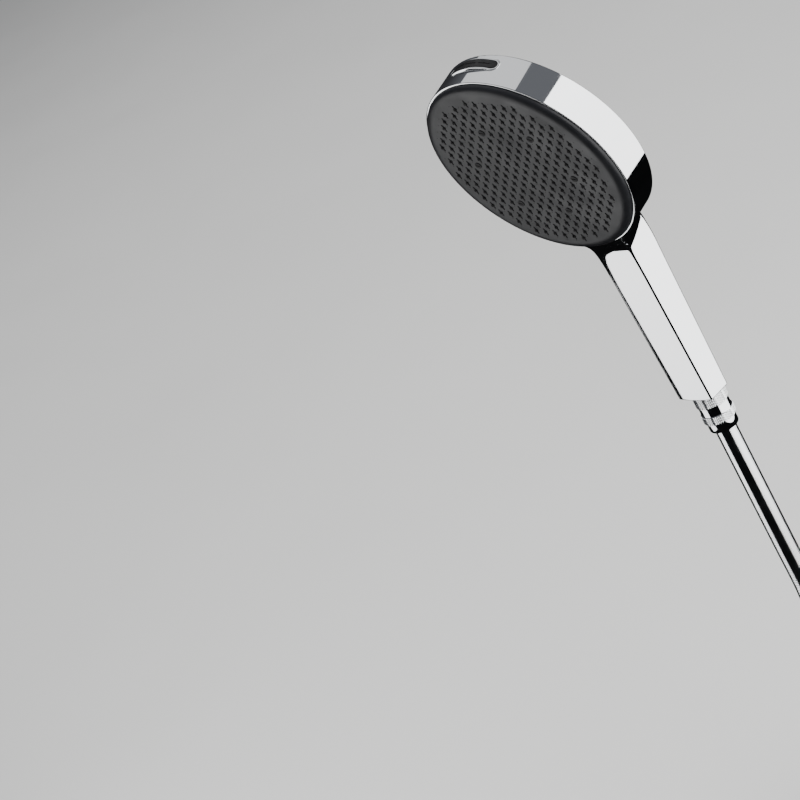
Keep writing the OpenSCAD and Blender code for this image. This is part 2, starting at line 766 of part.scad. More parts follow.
module poppet_spring() { color(steel) spring(2, 0.25, poppet_z + poppet_h, guide_z, 6); }

module flow_regulator() {
    color(blue) translate([0, 0, -thread_l + 0.2]) difference() {
        cylinder(r = valve_bore_r - fit, h = 2.6);
        for (k = [0 : 7]) rotate(45 * k) translate([4.4, 0, -1]) cylinder(r = 0.9, h = 5);
        translate([0, 0, -1]) cylinder(r = 2, h = 2.2);
        ring(3.3, 2.3, -1, 1);
    }
}

module regulator_oring() { color(black) translate([0, 0, -thread_l + 0.75]) torus(2.8, 0.42); }

// Hose joint
module hose_nut() {
    thread_floor = -thread_l - 0.6;
    color(chrome) rotate_extrude($fn = 96) polygon([
        [nut_thread_r, nut_top], [nut_r - nut_edge, nut_top], [nut_r, nut_top - nut_edge],
        [nut_r, upper_band_end], [nut_waist_r, upper_band_end - nut_edge],
        [nut_waist_r, lower_band_start + nut_edge], [nut_r, lower_band_start], [nut_r, lower_band_end],
        [nut_foot_r, lower_band_end - nut_edge], [nut_foot_r, nut_end + nut_edge],
        [nut_foot_r - nut_edge, nut_end], [nut_in, nut_end], [nut_in, shoulder_z],
        [ferrule_room_r, shoulder_z], [ferrule_room_r, thread_floor], [nut_thread_r, thread_floor]
    ]);
}

module filter_washer() { color(black) ring(ferrule_r, spigot_bore_r + 1.4, washer_z, washer_z + washer_h); }

module filter_mesh() {
    color(steel) translate([0, 0, washer_z + washer_h / 2]) linear_extrude(0.4) difference() {
        circle(spigot_bore_r + 1.35);
        for (k = [0 : 2], m = [0 : max(0, 6 * k - 1)])
            rotate(k == 0 ? 0 : 60 * m / k) translate([1.9 * k, 0]) circle(0.6, $fn = 16);
    }
}

module ferrule() {
    difference() {
        union() {
            translate([0, 0, -ferrule_h]) cylinder(r = ferrule_r, h = ferrule_h);
            translate([0, 0, hose_start - flange_z]) cylinder(r = spigot_r, h = flange_z - hose_start);
        }
        translate([0, 0, -60]) cylinder(r = spigot_bore_r, h = 90);
    }
}

module upper_ferrule() { color(brass) translate([0, 0, flange_z]) ferrule(); }

// Crimped sleeve with the lip that holds it on the spigot
sleeve_l = 14;
sleeve_lip = 1.2;
module sleeve() {
    top = shoulder_z + fit;
    ring(sleeve_r, sleeve_in, top - sleeve_l, top);
    ring(sleeve_in + 0.1, spigot_r + fit, top - sleeve_lip, top);
}

module upper_sleeve() { color(chrome) sleeve(); }

// Hose
module hose_tube() { color(steel) swept_tube(hose_route, hose_d / 2, tube_sides); }
module hose_tail() { color(steel) swept_tube(tail_route, hose_d / 2, tube_sides); }

module hose_coil() {
    color(steel) translate([coil_x, 0, coil_z]) rotate([-90, 0, 0]) rotate_extrude($fn = 96) {
        translate([coil_r - hose_d / 2, 0]) square([hose_d, tail_y]);
        for (y = [0, tail_y]) translate([coil_r, y]) circle(hose_d / 2, $fn = 48);
    }
}

tie_w = 12;
tie_wall = 1.5;
tie_gap = 0.45;
tie_angles = [0, 230];
module coil_ties() {
    in_x = hose_d + 2 * tie_gap;
    in_y = tail_y + hose_d + 2 * tie_gap;
    color(black) for (a = tie_angles) translate([coil_x, 0, coil_z]) rotate([0, -a, 0])
        translate([coil_r, tail_y / 2, 0]) difference() {
            cube([in_x + 2 * tie_wall, in_y + 2 * tie_wall, tie_w], center = true);
            cube([in_x, in_y, tie_w + 2], center = true);
        }
}

// Far end: the same ferrule and sleeve turned over, and the nut for the wall outlet
module at_far_end() { translate([hose_end[0], hose_end[1], hose_end[2] + hose_start]) mirror([0, 0, 1]) children(); }

module lower_sleeve() { at_far_end() color(chrome) sleeve(); }
module lower_ferrule() { at_far_end() color(brass) translate([0, 0, flange_z]) ferrule(); }

wall_nut_l = 19;
wall_thread_l = 7.4;
wall_washer_top = flange_z + fit + washer_h;
wall_thread_start = wall_washer_top + 0.15;
wall_mouth = wall_thread_start + wall_thread_l;
mouth_band_l = 9;
inner_band_l = 6;
module wall_nut() {
    low = wall_mouth - wall_nut_l;
    at_far_end() color(chrome) difference() {
        union() {
            translate([0, 0, wall_mouth - mouth_band_l]) cylinder(r = nut_r, h = mouth_band_l);
            translate([0, 0, low]) cylinder(r = nut_waist_r, h = wall_nut_l - mouth_band_l + 0.1);
            translate([0, 0, low + 1]) cylinder(r = nut_r, h = inner_band_l);
        }
        translate([0, 0, low - 1]) cylinder(r = nut_in, h = 2 * wall_nut_l);
        translate([0, 0, shoulder_z]) cylinder(r = ferrule_room_r, h = 2 * wall_nut_l);
        translate([0, 0, wall_thread_start]) cylinder(r = nut_thread_r, h = 2 * wall_nut_l);
    }
}

module wall_washer() {
    at_far_end() color(black) ring(ferrule_r, spigot_bore_r + 1.4, flange_z + fit, wall_washer_top);
}

body_shell();
face_plate();
nozzle_mat();
fan_jets();
chamber_plate();
chamber_oring();
engine_screws();
diverter_housing();
housing_screws();
diverter_rotor();
rotor_pinion();
rotor_pin();
port_seal();
detent_ball();
detent_spring();
rod_seal();
button_cap();
button_insert();
push_rod();
button_frame();
button_spring();
water_tube();
tube_orings();
inlet_nipple();
nipple_oring();
check_valve_body();
check_poppet();
poppet_seal();
poppet_spring();
flow_regulator();
regulator_oring();
hose_nut();
filter_washer();
filter_mesh();
upper_ferrule();
upper_sleeve();
hose_tube();
hose_coil();
hose_tail();
coil_ties();
lower_sleeve();
lower_ferrule();
wall_nut();
wall_washer();
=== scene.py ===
import json
import math

import bmesh
import bpy
from mathutils import Matrix, Vector
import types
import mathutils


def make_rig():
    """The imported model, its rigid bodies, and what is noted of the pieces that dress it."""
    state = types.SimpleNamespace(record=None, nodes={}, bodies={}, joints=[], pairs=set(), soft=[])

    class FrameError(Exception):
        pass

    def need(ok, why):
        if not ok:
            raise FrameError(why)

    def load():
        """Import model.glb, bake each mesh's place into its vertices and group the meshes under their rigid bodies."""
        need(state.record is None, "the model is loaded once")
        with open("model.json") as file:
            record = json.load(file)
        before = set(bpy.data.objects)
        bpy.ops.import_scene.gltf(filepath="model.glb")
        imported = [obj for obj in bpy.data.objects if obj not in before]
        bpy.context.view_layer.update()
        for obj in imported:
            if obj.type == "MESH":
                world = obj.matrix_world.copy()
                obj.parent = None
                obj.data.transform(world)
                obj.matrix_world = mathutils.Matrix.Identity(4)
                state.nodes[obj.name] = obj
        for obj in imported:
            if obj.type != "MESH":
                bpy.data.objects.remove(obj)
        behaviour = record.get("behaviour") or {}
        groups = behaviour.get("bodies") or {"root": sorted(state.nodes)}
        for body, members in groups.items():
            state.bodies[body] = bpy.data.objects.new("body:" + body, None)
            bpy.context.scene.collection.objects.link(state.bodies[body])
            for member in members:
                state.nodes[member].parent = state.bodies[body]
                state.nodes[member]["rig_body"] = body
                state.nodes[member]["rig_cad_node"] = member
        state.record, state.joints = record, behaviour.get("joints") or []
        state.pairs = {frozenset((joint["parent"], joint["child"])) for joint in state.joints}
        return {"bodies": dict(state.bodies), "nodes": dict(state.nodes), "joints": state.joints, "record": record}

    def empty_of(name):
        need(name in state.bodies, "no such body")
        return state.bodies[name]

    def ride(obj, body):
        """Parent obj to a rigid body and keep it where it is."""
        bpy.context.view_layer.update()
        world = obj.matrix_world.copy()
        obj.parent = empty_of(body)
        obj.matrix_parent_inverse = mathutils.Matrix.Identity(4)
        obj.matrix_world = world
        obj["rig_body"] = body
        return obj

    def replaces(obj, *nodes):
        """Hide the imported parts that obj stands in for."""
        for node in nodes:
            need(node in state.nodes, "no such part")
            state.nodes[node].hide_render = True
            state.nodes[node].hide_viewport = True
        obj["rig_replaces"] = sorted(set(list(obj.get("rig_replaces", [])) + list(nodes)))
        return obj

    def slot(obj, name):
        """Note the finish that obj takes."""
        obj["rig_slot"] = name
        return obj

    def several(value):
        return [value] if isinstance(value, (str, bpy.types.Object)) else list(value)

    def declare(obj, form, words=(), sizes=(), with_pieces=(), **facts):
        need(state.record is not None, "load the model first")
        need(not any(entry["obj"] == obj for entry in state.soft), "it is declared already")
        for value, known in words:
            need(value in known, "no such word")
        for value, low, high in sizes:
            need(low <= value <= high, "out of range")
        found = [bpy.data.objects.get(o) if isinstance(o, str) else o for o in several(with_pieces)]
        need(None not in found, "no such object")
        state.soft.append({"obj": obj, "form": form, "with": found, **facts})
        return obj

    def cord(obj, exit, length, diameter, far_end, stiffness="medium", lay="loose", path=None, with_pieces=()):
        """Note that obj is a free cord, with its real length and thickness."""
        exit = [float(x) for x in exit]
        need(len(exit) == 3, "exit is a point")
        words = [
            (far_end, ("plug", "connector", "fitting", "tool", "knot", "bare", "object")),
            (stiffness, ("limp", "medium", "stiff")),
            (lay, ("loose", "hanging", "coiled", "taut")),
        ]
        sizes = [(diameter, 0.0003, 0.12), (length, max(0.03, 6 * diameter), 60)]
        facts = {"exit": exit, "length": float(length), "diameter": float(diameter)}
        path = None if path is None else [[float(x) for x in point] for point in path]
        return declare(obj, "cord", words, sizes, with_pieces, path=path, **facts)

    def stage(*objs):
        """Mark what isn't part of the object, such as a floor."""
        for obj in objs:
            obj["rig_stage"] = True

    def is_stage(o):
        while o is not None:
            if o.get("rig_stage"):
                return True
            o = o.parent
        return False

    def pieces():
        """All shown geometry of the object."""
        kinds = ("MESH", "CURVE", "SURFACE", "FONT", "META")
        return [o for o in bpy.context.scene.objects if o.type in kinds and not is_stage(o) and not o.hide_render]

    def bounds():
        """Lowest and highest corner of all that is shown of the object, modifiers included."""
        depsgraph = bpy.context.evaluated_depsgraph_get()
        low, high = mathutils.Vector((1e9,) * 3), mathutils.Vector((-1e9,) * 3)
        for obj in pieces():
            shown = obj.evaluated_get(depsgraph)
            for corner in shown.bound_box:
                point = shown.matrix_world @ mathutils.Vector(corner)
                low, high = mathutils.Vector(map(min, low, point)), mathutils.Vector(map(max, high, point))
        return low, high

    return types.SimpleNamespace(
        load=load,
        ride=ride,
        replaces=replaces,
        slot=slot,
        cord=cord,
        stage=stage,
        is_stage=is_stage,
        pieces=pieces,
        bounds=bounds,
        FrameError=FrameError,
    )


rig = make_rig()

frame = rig.load()
cadLow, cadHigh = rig.bounds()
nodes = frame["nodes"]
scene = bpy.context.scene
mm = 0.001
poleRadius = 0.0005  # closes a lathe at its axis, in mm

# camera first, then the hose
cameraValues = {
    "azimuth": 56.96, "elevation": 22.25, "roll": -29.67,
    "lens": 108.0, "sensor": 36.0, "place": (1.1280, -0.9527, 0.7027),
}


def addCamera(v):
    data = bpy.data.cameras.new("studioCamera")
    data.lens, data.sensor_width = v["lens"], v["sensor"]
    data.clip_end = 50.0
    cam = bpy.data.objects.new("studioCamera", data)
    scene.collection.objects.link(cam)
    az, el, roll = (math.radians(v[k]) for k in ("azimuth", "elevation", "roll"))
    back = Vector((math.sin(az) * math.cos(el), -math.cos(az) * math.cos(el), math.sin(el)))
    right = Vector((math.cos(az), math.sin(az), 0))
    up = back.cross(right)
    sideAxis = right * math.cos(roll) + up * math.sin(roll)
    upAxis = up * math.cos(roll) - right * math.sin(roll)
    place = Matrix((sideAxis, upAxis, back)).transposed().to_4x4()
    place.translation = v["place"]
    cam.matrix_world = place
    scene.camera = cam


addCamera(cameraValues)
print("camera set")


# small helpers for meshes, node trees and materials
def meshObject(name, verts, faces, body, slotName, material, smoothAngle=35):
    mesh = bpy.data.meshes.new(name)
    mesh.from_pydata([Vector(p) * mm for p in verts], [], faces)
    mesh.update()
    return finishMesh(name, mesh, body, slotName, material, smoothAngle)


def finishMesh(name, mesh, body, slotName, material, smoothAngle=35):
    bm = bmesh.new()
    bm.from_mesh(mesh)
    bmesh.ops.remove_doubles(bm, verts=bm.verts, dist=2e-6)
    bmesh.ops.dissolve_degenerate(bm, dist=1e-6, edges=bm.edges)
    bmesh.ops.holes_fill(bm, edges=[e for e in bm.edges if e.is_boundary], sides=8)
    bmesh.ops.recalc_face_normals(bm, faces=bm.faces)
    limit = math.radians(smoothAngle)
    for f in bm.faces:
        f.smooth = True
    for e in bm.edges:
        e.smooth = not (len(e.link_faces) == 2 and e.calc_face_angle(0) > limit)
    bm.to_mesh(mesh)
    bm.free()
    if material is not None:
        mesh.materials.clear()
        mesh.materials.append(material)
    obj = bpy.data.objects.new(name, mesh)
    scene.collection.objects.link(obj)
    if body:
        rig.ride(obj, body)
        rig.slot(obj, slotName)
    return obj


def bridge(a, b, closed=True):
    n = len(a)
    last = n if closed else n - 1
    return [(a[k], a[(k + 1) % n], b[(k + 1) % n], b[k]) for k in range(last)]


def ringsMesh(rings, closed=True, capStart=False, capEnd=False):
    verts, faces, base = [], [], []
    for r in rings:
        base.append(range(len(verts), len(verts) + len(r)))
        verts += r
    for a, b in zip(base, base[1:]):
        faces += bridge(a, b, closed)
    if capStart:
        faces.append(tuple(reversed(base[0])))
    if capEnd:
        faces.append(tuple(base[-1]))
    return verts, faces


def joinParts(parts):
    verts, faces = [], []
    for v, f in parts:
        n = len(verts)
        verts += v
        faces += [tuple(i + n for i in face) for face in f]
    return verts, faces


def geometryTree(name, inputs):
    tree = bpy.data.node_groups.new(name, "GeometryNodeTree")
    face = tree.interface
    face.new_socket("Geometry", in_out="INPUT", socket_type="NodeSocketGeometry")
    face.new_socket("Geometry", in_out="OUTPUT", socket_type="NodeSocketGeometry")
    for label, (kind, value) in inputs.items():
        s = face.new_socket(label, in_out="INPUT", socket_type="NodeSocket" + kind)
        if value is not None:
            s.default_value = value
    return tree, tree.nodes.new("NodeGroupInput"), tree.nodes.new("NodeGroupOutput")


def wire(tree, *pairs):
    for a, b in pairs:
        tree.links.new(a, b)


def runTree(tree, source, values):
    mod = source.modifiers.new(tree.name, "NODES")
    mod.node_group = tree
    for item in tree.interface.items_tree:
        if item.item_type == "SOCKET" and item.in_out == "INPUT" and item.name in values:
            mod[item.identifier] = values[item.name]
    source.update_tag()
    bpy.context.view_layer.update()
    shown = source.evaluated_get(bpy.context.evaluated_depsgraph_get())
    made = bpy.data.meshes.new_from_object(shown)
    source.modifiers.remove(mod)
    return made


def dropObject(obj):
    data = obj.data
    bpy.data.objects.remove(obj)
    if data.users == 0 and isinstance(data, bpy.types.Mesh):
        bpy.data.meshes.remove(data)


# A template is repeated on each point, turned by the angle round the axis if asked
def repeatTree(name, turned):
    tree, start, end = geometryTree(name, {
        "Template": ("Object", None), "Size": ("Float", 1.0), "Finish": ("Material", None)})
    info = tree.nodes.new("GeometryNodeObjectInfo")
    place = tree.nodes.new("GeometryNodeInstanceOnPoints")
    real = tree.nodes.new("GeometryNodeRealizeInstances")
    finish = tree.nodes.new("GeometryNodeSetMaterial")
    wire(tree, (start.outputs["Geometry"], place.inputs["Points"]),
         (start.outputs["Template"], info.inputs["Object"]),
         (info.outputs["Geometry"], place.inputs["Instance"]),
         (start.outputs["Size"], place.inputs["Scale"]),
         (place.outputs[0], real.inputs[0]), (real.outputs[0], finish.inputs["Geometry"]),
         (start.outputs["Finish"], finish.inputs["Material"]),
         (finish.outputs[0], end.inputs[0]))
    if turned:
        spot = tree.nodes.new("GeometryNodeInputPosition")
        split = tree.nodes.new("ShaderNodeSeparateXYZ")
        angle = tree.nodes.new("ShaderNodeMath")
        angle.operation = "ARCTAN2"
        join = tree.nodes.new("ShaderNodeCombineXYZ")
        wire(tree, (spot.outputs[0], split.inputs[0]), (split.outputs["Y"], angle.inputs[0]),
             (split.outputs["X"], angle.inputs[1]), (angle.outputs[0], join.inputs["Z"]),
             (join.outputs[0], place.inputs["Rotation"]))
    return tree


def repeatOnPoints(name, points, template, body, slotName, material, turned=False, smoothAngle=35):
    cloud = bpy.data.meshes.new(name + "Points")
    cloud.from_pydata([Vector(p) * mm for p in points], [], [])
    holder = bpy.data.objects.new(name + "Points", cloud)
    scene.collection.objects.link(holder)
    made = runTree(repeatTree(name + "Tree", turned), holder,
                   {"Template": template, "Size": 1.0, "Finish": material})
    dropObject(holder)
    dropObject(template)
    return finishMesh(name, made, body, slotName, material, smoothAngle)


def templateMesh(name, verts, faces):
    mesh = bpy.data.meshes.new(name)
    mesh.from_pydata([Vector(p) * mm for p in verts], [], faces)
    obj = bpy.data.objects.new(name, mesh)
    scene.collection.objects.link(obj)
    return obj


# materials: colour, roughness and bump each vary over the object
class Finish:
    def __init__(self, name, base, rough, metal=0.0):
        self.mat = bpy.data.materials.new(name)
        self.mat.use_nodes = True
        self.tree = self.mat.node_tree
        self.shader = self.tree.nodes["Principled BSDF"]
        self.shader.inputs["Base Color"].default_value = (*base, 1)
        self.shader.inputs["Roughness"].default_value = rough
        self.shader.inputs["Metallic"].default_value = metal
        self.coords = self.tree.nodes.new("ShaderNodeTexCoord")
        self.base, self.rough = base, rough
        self.height = None

    def add(self, kind, **values):
        n = self.tree.nodes.new(kind)
        for k, v in values.items():
            n.inputs[k].default_value = v
        return n

    def link(self, a, b):
        self.tree.links.new(a, b)

    def place(self, scale=(1, 1, 1)):
        m = self.add("ShaderNodeMapping", Scale=scale)
        self.link(self.coords.outputs["Object"], m.inputs["Vector"])
        return m.outputs["Vector"]

    def noise(self, scale, detail=4.0, rough=0.55, stretch=(1, 1, 1)):
        n = self.add("ShaderNodeTexNoise", Scale=scale, Detail=detail, Roughness=rough)
        self.link(self.place(stretch), n.inputs["Vector"])
        return n.outputs["Fac"]

    def spread(self, value, low, high, fromLow=0.3, fromHigh=0.7):
        n = self.tree.nodes.new("ShaderNodeMapRange")
        n.inputs["From Min"].default_value, n.inputs["From Max"].default_value = fromLow, fromHigh
        n.inputs["To Min"].default_value, n.inputs["To Max"].default_value = low, high
        self.link(value, n.inputs["Value"])
        return n.outputs["Result"]

    def blendColour(self, factor, other):
        n = self.tree.nodes.new("ShaderNodeMix")
        n.data_type = "RGBA"
        old = self.shader.inputs["Base Color"]
        if old.is_linked:
            self.link(old.links[0].from_socket, n.inputs[6])
        else:
            n.inputs[6].default_value = (*self.base, 1)
        n.inputs[7].default_value = (*other, 1)
        self.link(factor, n.inputs[0])
        self.link(n.outputs[2], self.shader.inputs["Base Color"])
        return self

    def tint(self, value, other, amount=1.0):
        return self.blendColour(self.spread(value, 0, amount), other)

    def roughen(self, value, low, high):
        self.link(self.spread(value, low, high), self.shader.inputs["Roughness"])
        return self

    def bump(self, value, depth, strength=1.0):
        n = self.tree.nodes.new("ShaderNodeBump")
        n.inputs["Strength"].default_value = strength
        n.inputs["Distance"].default_value = depth
        self.link(value, n.inputs["Height"])
        if self.height is not None:
            self.link(self.height, n.inputs["Normal"])
        self.height = n.outputs["Normal"]
        self.link(self.height, self.shader.inputs["Normal"])
        return self

    def wear(self, other, amount, low=0.51, high=0.56):
        n = self.tree.nodes.new("ShaderNodeNewGeometry")
        edge = self.spread(n.outputs["Pointiness"], 0, 1, low, high)
        mix = self.tree.nodes.new("ShaderNodeMath")
        mix.operation = "MULTIPLY"
        self.link(edge, mix.inputs[0])
        self.link(self.spread(self.noise(420, 3), 0.3, 1), mix.inputs[1])
        return self.blendColour(self.spread(mix.outputs[0], 0, amount, 0, 1), other)


def chromeFinish(name, base=(0.88, 0.89, 0.90), rough=0.035):
    f = Finish(name, base, rough, 1.0)
    f.roughen(f.noise(35, 6), rough * 0.7, rough * 1.8)
    f.tint(f.noise(14, 3), (0.80, 0.82, 0.84), 0.35)
    f.bump(f.noise(900, 2, 0.5, (1, 1, 0.15)), 2e-6, 0.10)
    f.wear((0.93, 0.93, 0.92), 0.5)
    return f.mat


def facePlastic():
    f = Finish("facePlastic", (0.011, 0.0115, 0.0135), 0.34)
    f.shader.inputs["Specular IOR Level"].default_value = 0.34
    f.roughen(f.noise(60, 5), 0.30, 0.46)
    f.tint(f.noise(30, 4), (0.016, 0.0165, 0.019), 0.8)
    f.bump(f.noise(1500, 3), 1.6e-5, 0.25)
    f.wear((0.03, 0.03, 0.033), 0.4)
    return f.mat


def rubber(name, base, rough=0.55):
    f = Finish(name, base, rough)
    f.roughen(f.noise(240, 4), rough - 0.1, rough + 0.12)
    f.tint(f.noise(120, 4), tuple(c * 1.7 + 0.001 for c in base), 0.6)
    f.shader.inputs["Specular IOR Level"].default_value = 0.3
    f.bump(f.noise(2200, 3), 1.2e-5, 0.25)
    return f.mat


def plastic(name, base, rough=0.42):
    f = Finish(name, base, rough)
    f.roughen(f.noise(90, 5), rough - 0.08, rough + 0.12)
    f.tint(f.noise(25, 4), tuple(c * 0.86 for c in base), 0.6)
    f.bump(f.noise(900, 3), 1.4e-5, 0.2)
    f.wear(tuple(min(1, c * 1.25 + 0.01) for c in base), 0.5)
    return f.mat


def metal(name, base, rough, brushed=(1, 1, 12)):
    f = Finish(name, base, rough, 1.0)
    f.roughen(f.noise(300, 4, 0.6, brushed), rough * 0.7, rough * 1.4)
    f.tint(f.noise(40, 4), tuple(c * 0.82 for c in base), 0.6)
    f.bump(f.noise(800, 3, 0.6, brushed), 6e-6, 0.25)
    f.wear(tuple(min(1, c * 1.2) for c in base), 0.6)
    return f.mat


def strapFabric():
    f = Finish("tieStrap", (0.013, 0.013, 0.014), 0.85)
    f.shader.inputs["Sheen Weight"].default_value = 0.4
    weave = f.add("ShaderNodeTexWave", Scale=420.0, Distortion=1.2, Detail=2.0)
    f.link(f.place(), weave.inputs["Vector"])
    f.tint(weave.outputs["Fac"], (0.035, 0.035, 0.037), 0.8)
    f.roughen(f.noise(300, 4), 0.75, 0.95)
    f.bump(weave.outputs["Fac"], 1.5e-4, 0.6)
    f.bump(f.noise(1500, 4), 8e-5, 0.4)
    return f.mat


finishes = {
    "chrome_shell": chromeFinish("shellChrome"),
    "face_plastic": facePlastic(),
    "nozzle_silicone": rubber("nozzleSilicone", (0.0022, 0.0022, 0.0026), 0.55),
    "engine_plastic": plastic("enginePlastic", (0.72, 0.72, 0.70)),
    "rotor_plastic": plastic("rotorPlastic", (0.05, 0.14, 0.42)),
    "seal_rubber": rubber("sealRubber", (0.012, 0.012, 0.012), 0.6),
    "steel": metal("steel", (0.60, 0.61, 0.62), 0.25),
    "brass": metal("brass", (0.72, 0.52, 0.22), 0.22),
    "grip_rubber": rubber("gripRubber", (0.004, 0.004, 0.0045), 0.42),
    "chrome_button": chromeFinish("buttonChrome", (0.86, 0.87, 0.88), 0.05),
    "chrome_nut": chromeFinish("nutChrome", (0.85, 0.86, 0.87), 0.06),
    "hose_skin": chromeFinish("hoseSkin", (0.80, 0.81, 0.83), 0.13),
    "tie_strap": strapFabric(),
}
for part in frame["record"]["subparts"]:
    node = nodes[part["node"]]
    node.data.materials.clear()
    node.data.materials.append(finishes[part["material_slot"]])
print("finishes made")

# hose: down from the nut, a double bend, two coiled turns and a short tail
hoseValues = {
    "outside": 16.0, "diameter": 15.6, "ribPitch": 1.5, "ribDepth": 0.07, "sides": 20,
    "length": 1.50, "exit": (0, 0, -0.022),  # metres
    "coilMiddle": (45, 0, -308), "coilRadius": 88, "turns": 2, "coilPitch": 17, "pointsPerTurn": 48,
}
hoseRoute = [
    (0, 0, -22), (0, 0, -50), (0, 0, -80), (0, 0, -110), (0, 0, -140), (0, 0, -168),
    (-1.5, -0.5, -188.5), (-5.6, -1.5, -207.5), (-12.4, -2.5, -224), (-21.5, -3, -238.5),
    (-30.6, -2.5, -253), (-37.4, -1.5, -269.5), (-41.5, -0.5, -288),
]
tailRoute = [(-43, 34, -345), (-43, 34, -368), (-43, 34, -390)]


def coilPoints(v):
    cx, cy, cz = v["coilMiddle"]
    count = v["turns"] * v["pointsPerTurn"]
    out = []
    for k in range(count + 1):
        a = math.radians(180 + 360 * k / v["pointsPerTurn"])
        out.append((cx + v["coilRadius"] * math.cos(a), cy + v["coilPitch"] * k / v["pointsPerTurn"],
                    cz + v["coilRadius"] * math.sin(a)))
    return out


def hoseTree():
    tree, start, end = geometryTree("hoseRibs", {
        "Step": ("Float", 0.0004), "Radius": ("Float", 0.0078), "Groove": ("Float", 0.0003),
        "Sides": ("Int", 20), "Finish": ("Material", None)})
    n = tree.nodes
    even = n.new("GeometryNodeResampleCurve")
    even.mode = "LENGTH"
    index = n.new("GeometryNodeInputIndex")
    part = n.new("ShaderNodeMath")
    part.operation = "MODULO"
    part.inputs[1].default_value = 4
    low = n.new("ShaderNodeMath")
    low.operation = "LESS_THAN"
    low.inputs[1].default_value = 0.5
    deep = n.new("ShaderNodeMath")
    deep.operation = "MULTIPLY"
    size = n.new("ShaderNodeMath")
    size.operation = "SUBTRACT"
    thick = n.new("GeometryNodeSetCurveRadius")
    ring = n.new("GeometryNodeCurvePrimitiveCircle")
    ring.inputs["Radius"].default_value = 1.0
    skin = n.new("GeometryNodeCurveToMesh")
    skin.inputs["Fill Caps"].default_value = True
    smooth = n.new("GeometryNodeSetShadeSmooth")
    real = n.new("GeometryNodeRealizeInstances")
    finish = n.new("GeometryNodeSetMaterial")
    wire(tree, (start.outputs["Geometry"], even.inputs["Curve"]),
         (start.outputs["Step"], even.inputs["Length"]), (index.outputs[0], part.inputs[0]),
         (part.outputs[0], low.inputs[0]), (low.outputs[0], deep.inputs[0]),
         (start.outputs["Groove"], deep.inputs[1]), (start.outputs["Radius"], size.inputs[0]),
         (deep.outputs[0], size.inputs[1]), (even.outputs[0], thick.inputs["Curve"]),
         (size.outputs[0], thick.inputs["Radius"]), (start.outputs["Sides"], ring.inputs["Resolution"]),
         (thick.outputs[0], skin.inputs["Curve"]), (ring.outputs["Curve"], skin.inputs["Profile Curve"]),
         (skin.outputs[0], smooth.inputs["Geometry"]), (smooth.outputs[0], real.inputs[0]),
         (real.outputs[0], finish.inputs["Geometry"]), (start.outputs["Finish"], finish.inputs["Material"]),
         (finish.outputs[0], end.inputs[0]))
    if "Scale" in skin.inputs:
        wire(tree, (size.outputs[0], skin.inputs["Scale"]))
    return tree


def smoothRoute(points, steps):
    out = []
    for i in range(len(points) - 1):
        a, b = Vector(points[i]), Vector(points[i + 1])
        before = Vector(points[i - 1]) if i else a * 2 - b
        after = Vector(points[i + 2]) if i + 2 < len(points) else b * 2 - a
        for k in range(steps):
            t = k / steps
            ta, tb = (b - before) / 2, (after - a) / 2
            out.append(a * (2 * t**3 - 3 * t**2 + 1) + ta * (t**3 - 2 * t**2 + t)
                       + b * (3 * t**2 - 2 * t**3) + tb * (t**3 - t**2))
    return out + [Vector(points[-1])]


def addHose(v):
    coil = coilPoints(v)
    route = smoothRoute(hoseRoute + coil[:2], 4)[:-4] + [Vector(p) for p in coil + tailRoute]
    curve = bpy.data.curves.new("hosePath", "CURVE")
    curve.dimensions = "3D"
    spline = curve.splines.new("POLY")
    spline.points.add(len(route) - 1)
    for point, place in zip(spline.points, route):
        point.co = (*(place * mm), 1)
    holder = bpy.data.objects.new("hosePath", curve)
    scene.collection.objects.link(holder)
    made = runTree(hoseTree(), holder, {
        "Step": v["ribPitch"] / 4 * mm, "Radius": v["diameter"] / 2 * mm, "Groove": v["ribDepth"] * mm,
        "Sides": v["sides"], "Finish": finishes["hose_skin"]})
    bpy.data.objects.remove(holder)
    hose = finishMesh("showerHose", made, "hose", "hose_skin", finishes["hose_skin"], 60)
    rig.replaces(hose, "hose_tube", "hose_coil", "hose_tail")
    return hose, [p * mm for p in route]


showerHose, hosePath = addHose(hoseValues)
print("hose made", len(showerHose.data.polygons))

# head: sizes in millimetres in the head's own frame, x across, y up the face, z along the spray
headValues = {
    "radius": 75.0, "depth": 24.5, "tilt": 14.0, "originY": -47.144, "originZ": 208.772,
    "domeRise": 3.0, "backRound": 0.9, "frontRound": 0.6, "lipIn": 73.72, "lipBevel": 0.15,
    "turns": 180,
    "bore": 72.5, "seatZ": -3.6, "innerZ": -22.0, "slotRing": 0.9,
    "slotZ": -15.5, "slotHalf": 22.2, "slotRadius": 4.6, "slotSteps": 12,
}
tiltSin, tiltCos = (f(math.radians(headValues["tilt"])) for f in (math.sin, math.cos))


def headPoint(x, y, z):
    return (x, headValues["originY"] - tiltSin * y - tiltCos * z,
            headValues["originZ"] + tiltCos * y - tiltSin * z)


def headDirection(x, y, z):
    return Vector((x, -tiltSin * y - tiltCos * z, tiltCos * y - tiltSin * z))


def lathe(profile, turns, place=headPoint):
    rings = []
    for r, z in profile:
        rings.append([place(r * math.sin(2 * math.pi * k / turns), r * math.cos(2 * math.pi * k / turns), z)
                      for k in range(turns)])
    return ringsMesh(rings)


def arcPoints(cx, cy, r, start, stop, steps):
    return [(cx + r * math.cos(math.radians(start + (stop - start) * k / steps)),
             cy + r * math.sin(math.radians(start + (stop - start) * k / steps))) for k in range(steps + 1)]


def domeHeight(v, r):
    return -v["depth"] - v["domeRise"] * (1 - (r / (v["radius"] - v["backRound"])) ** 2)


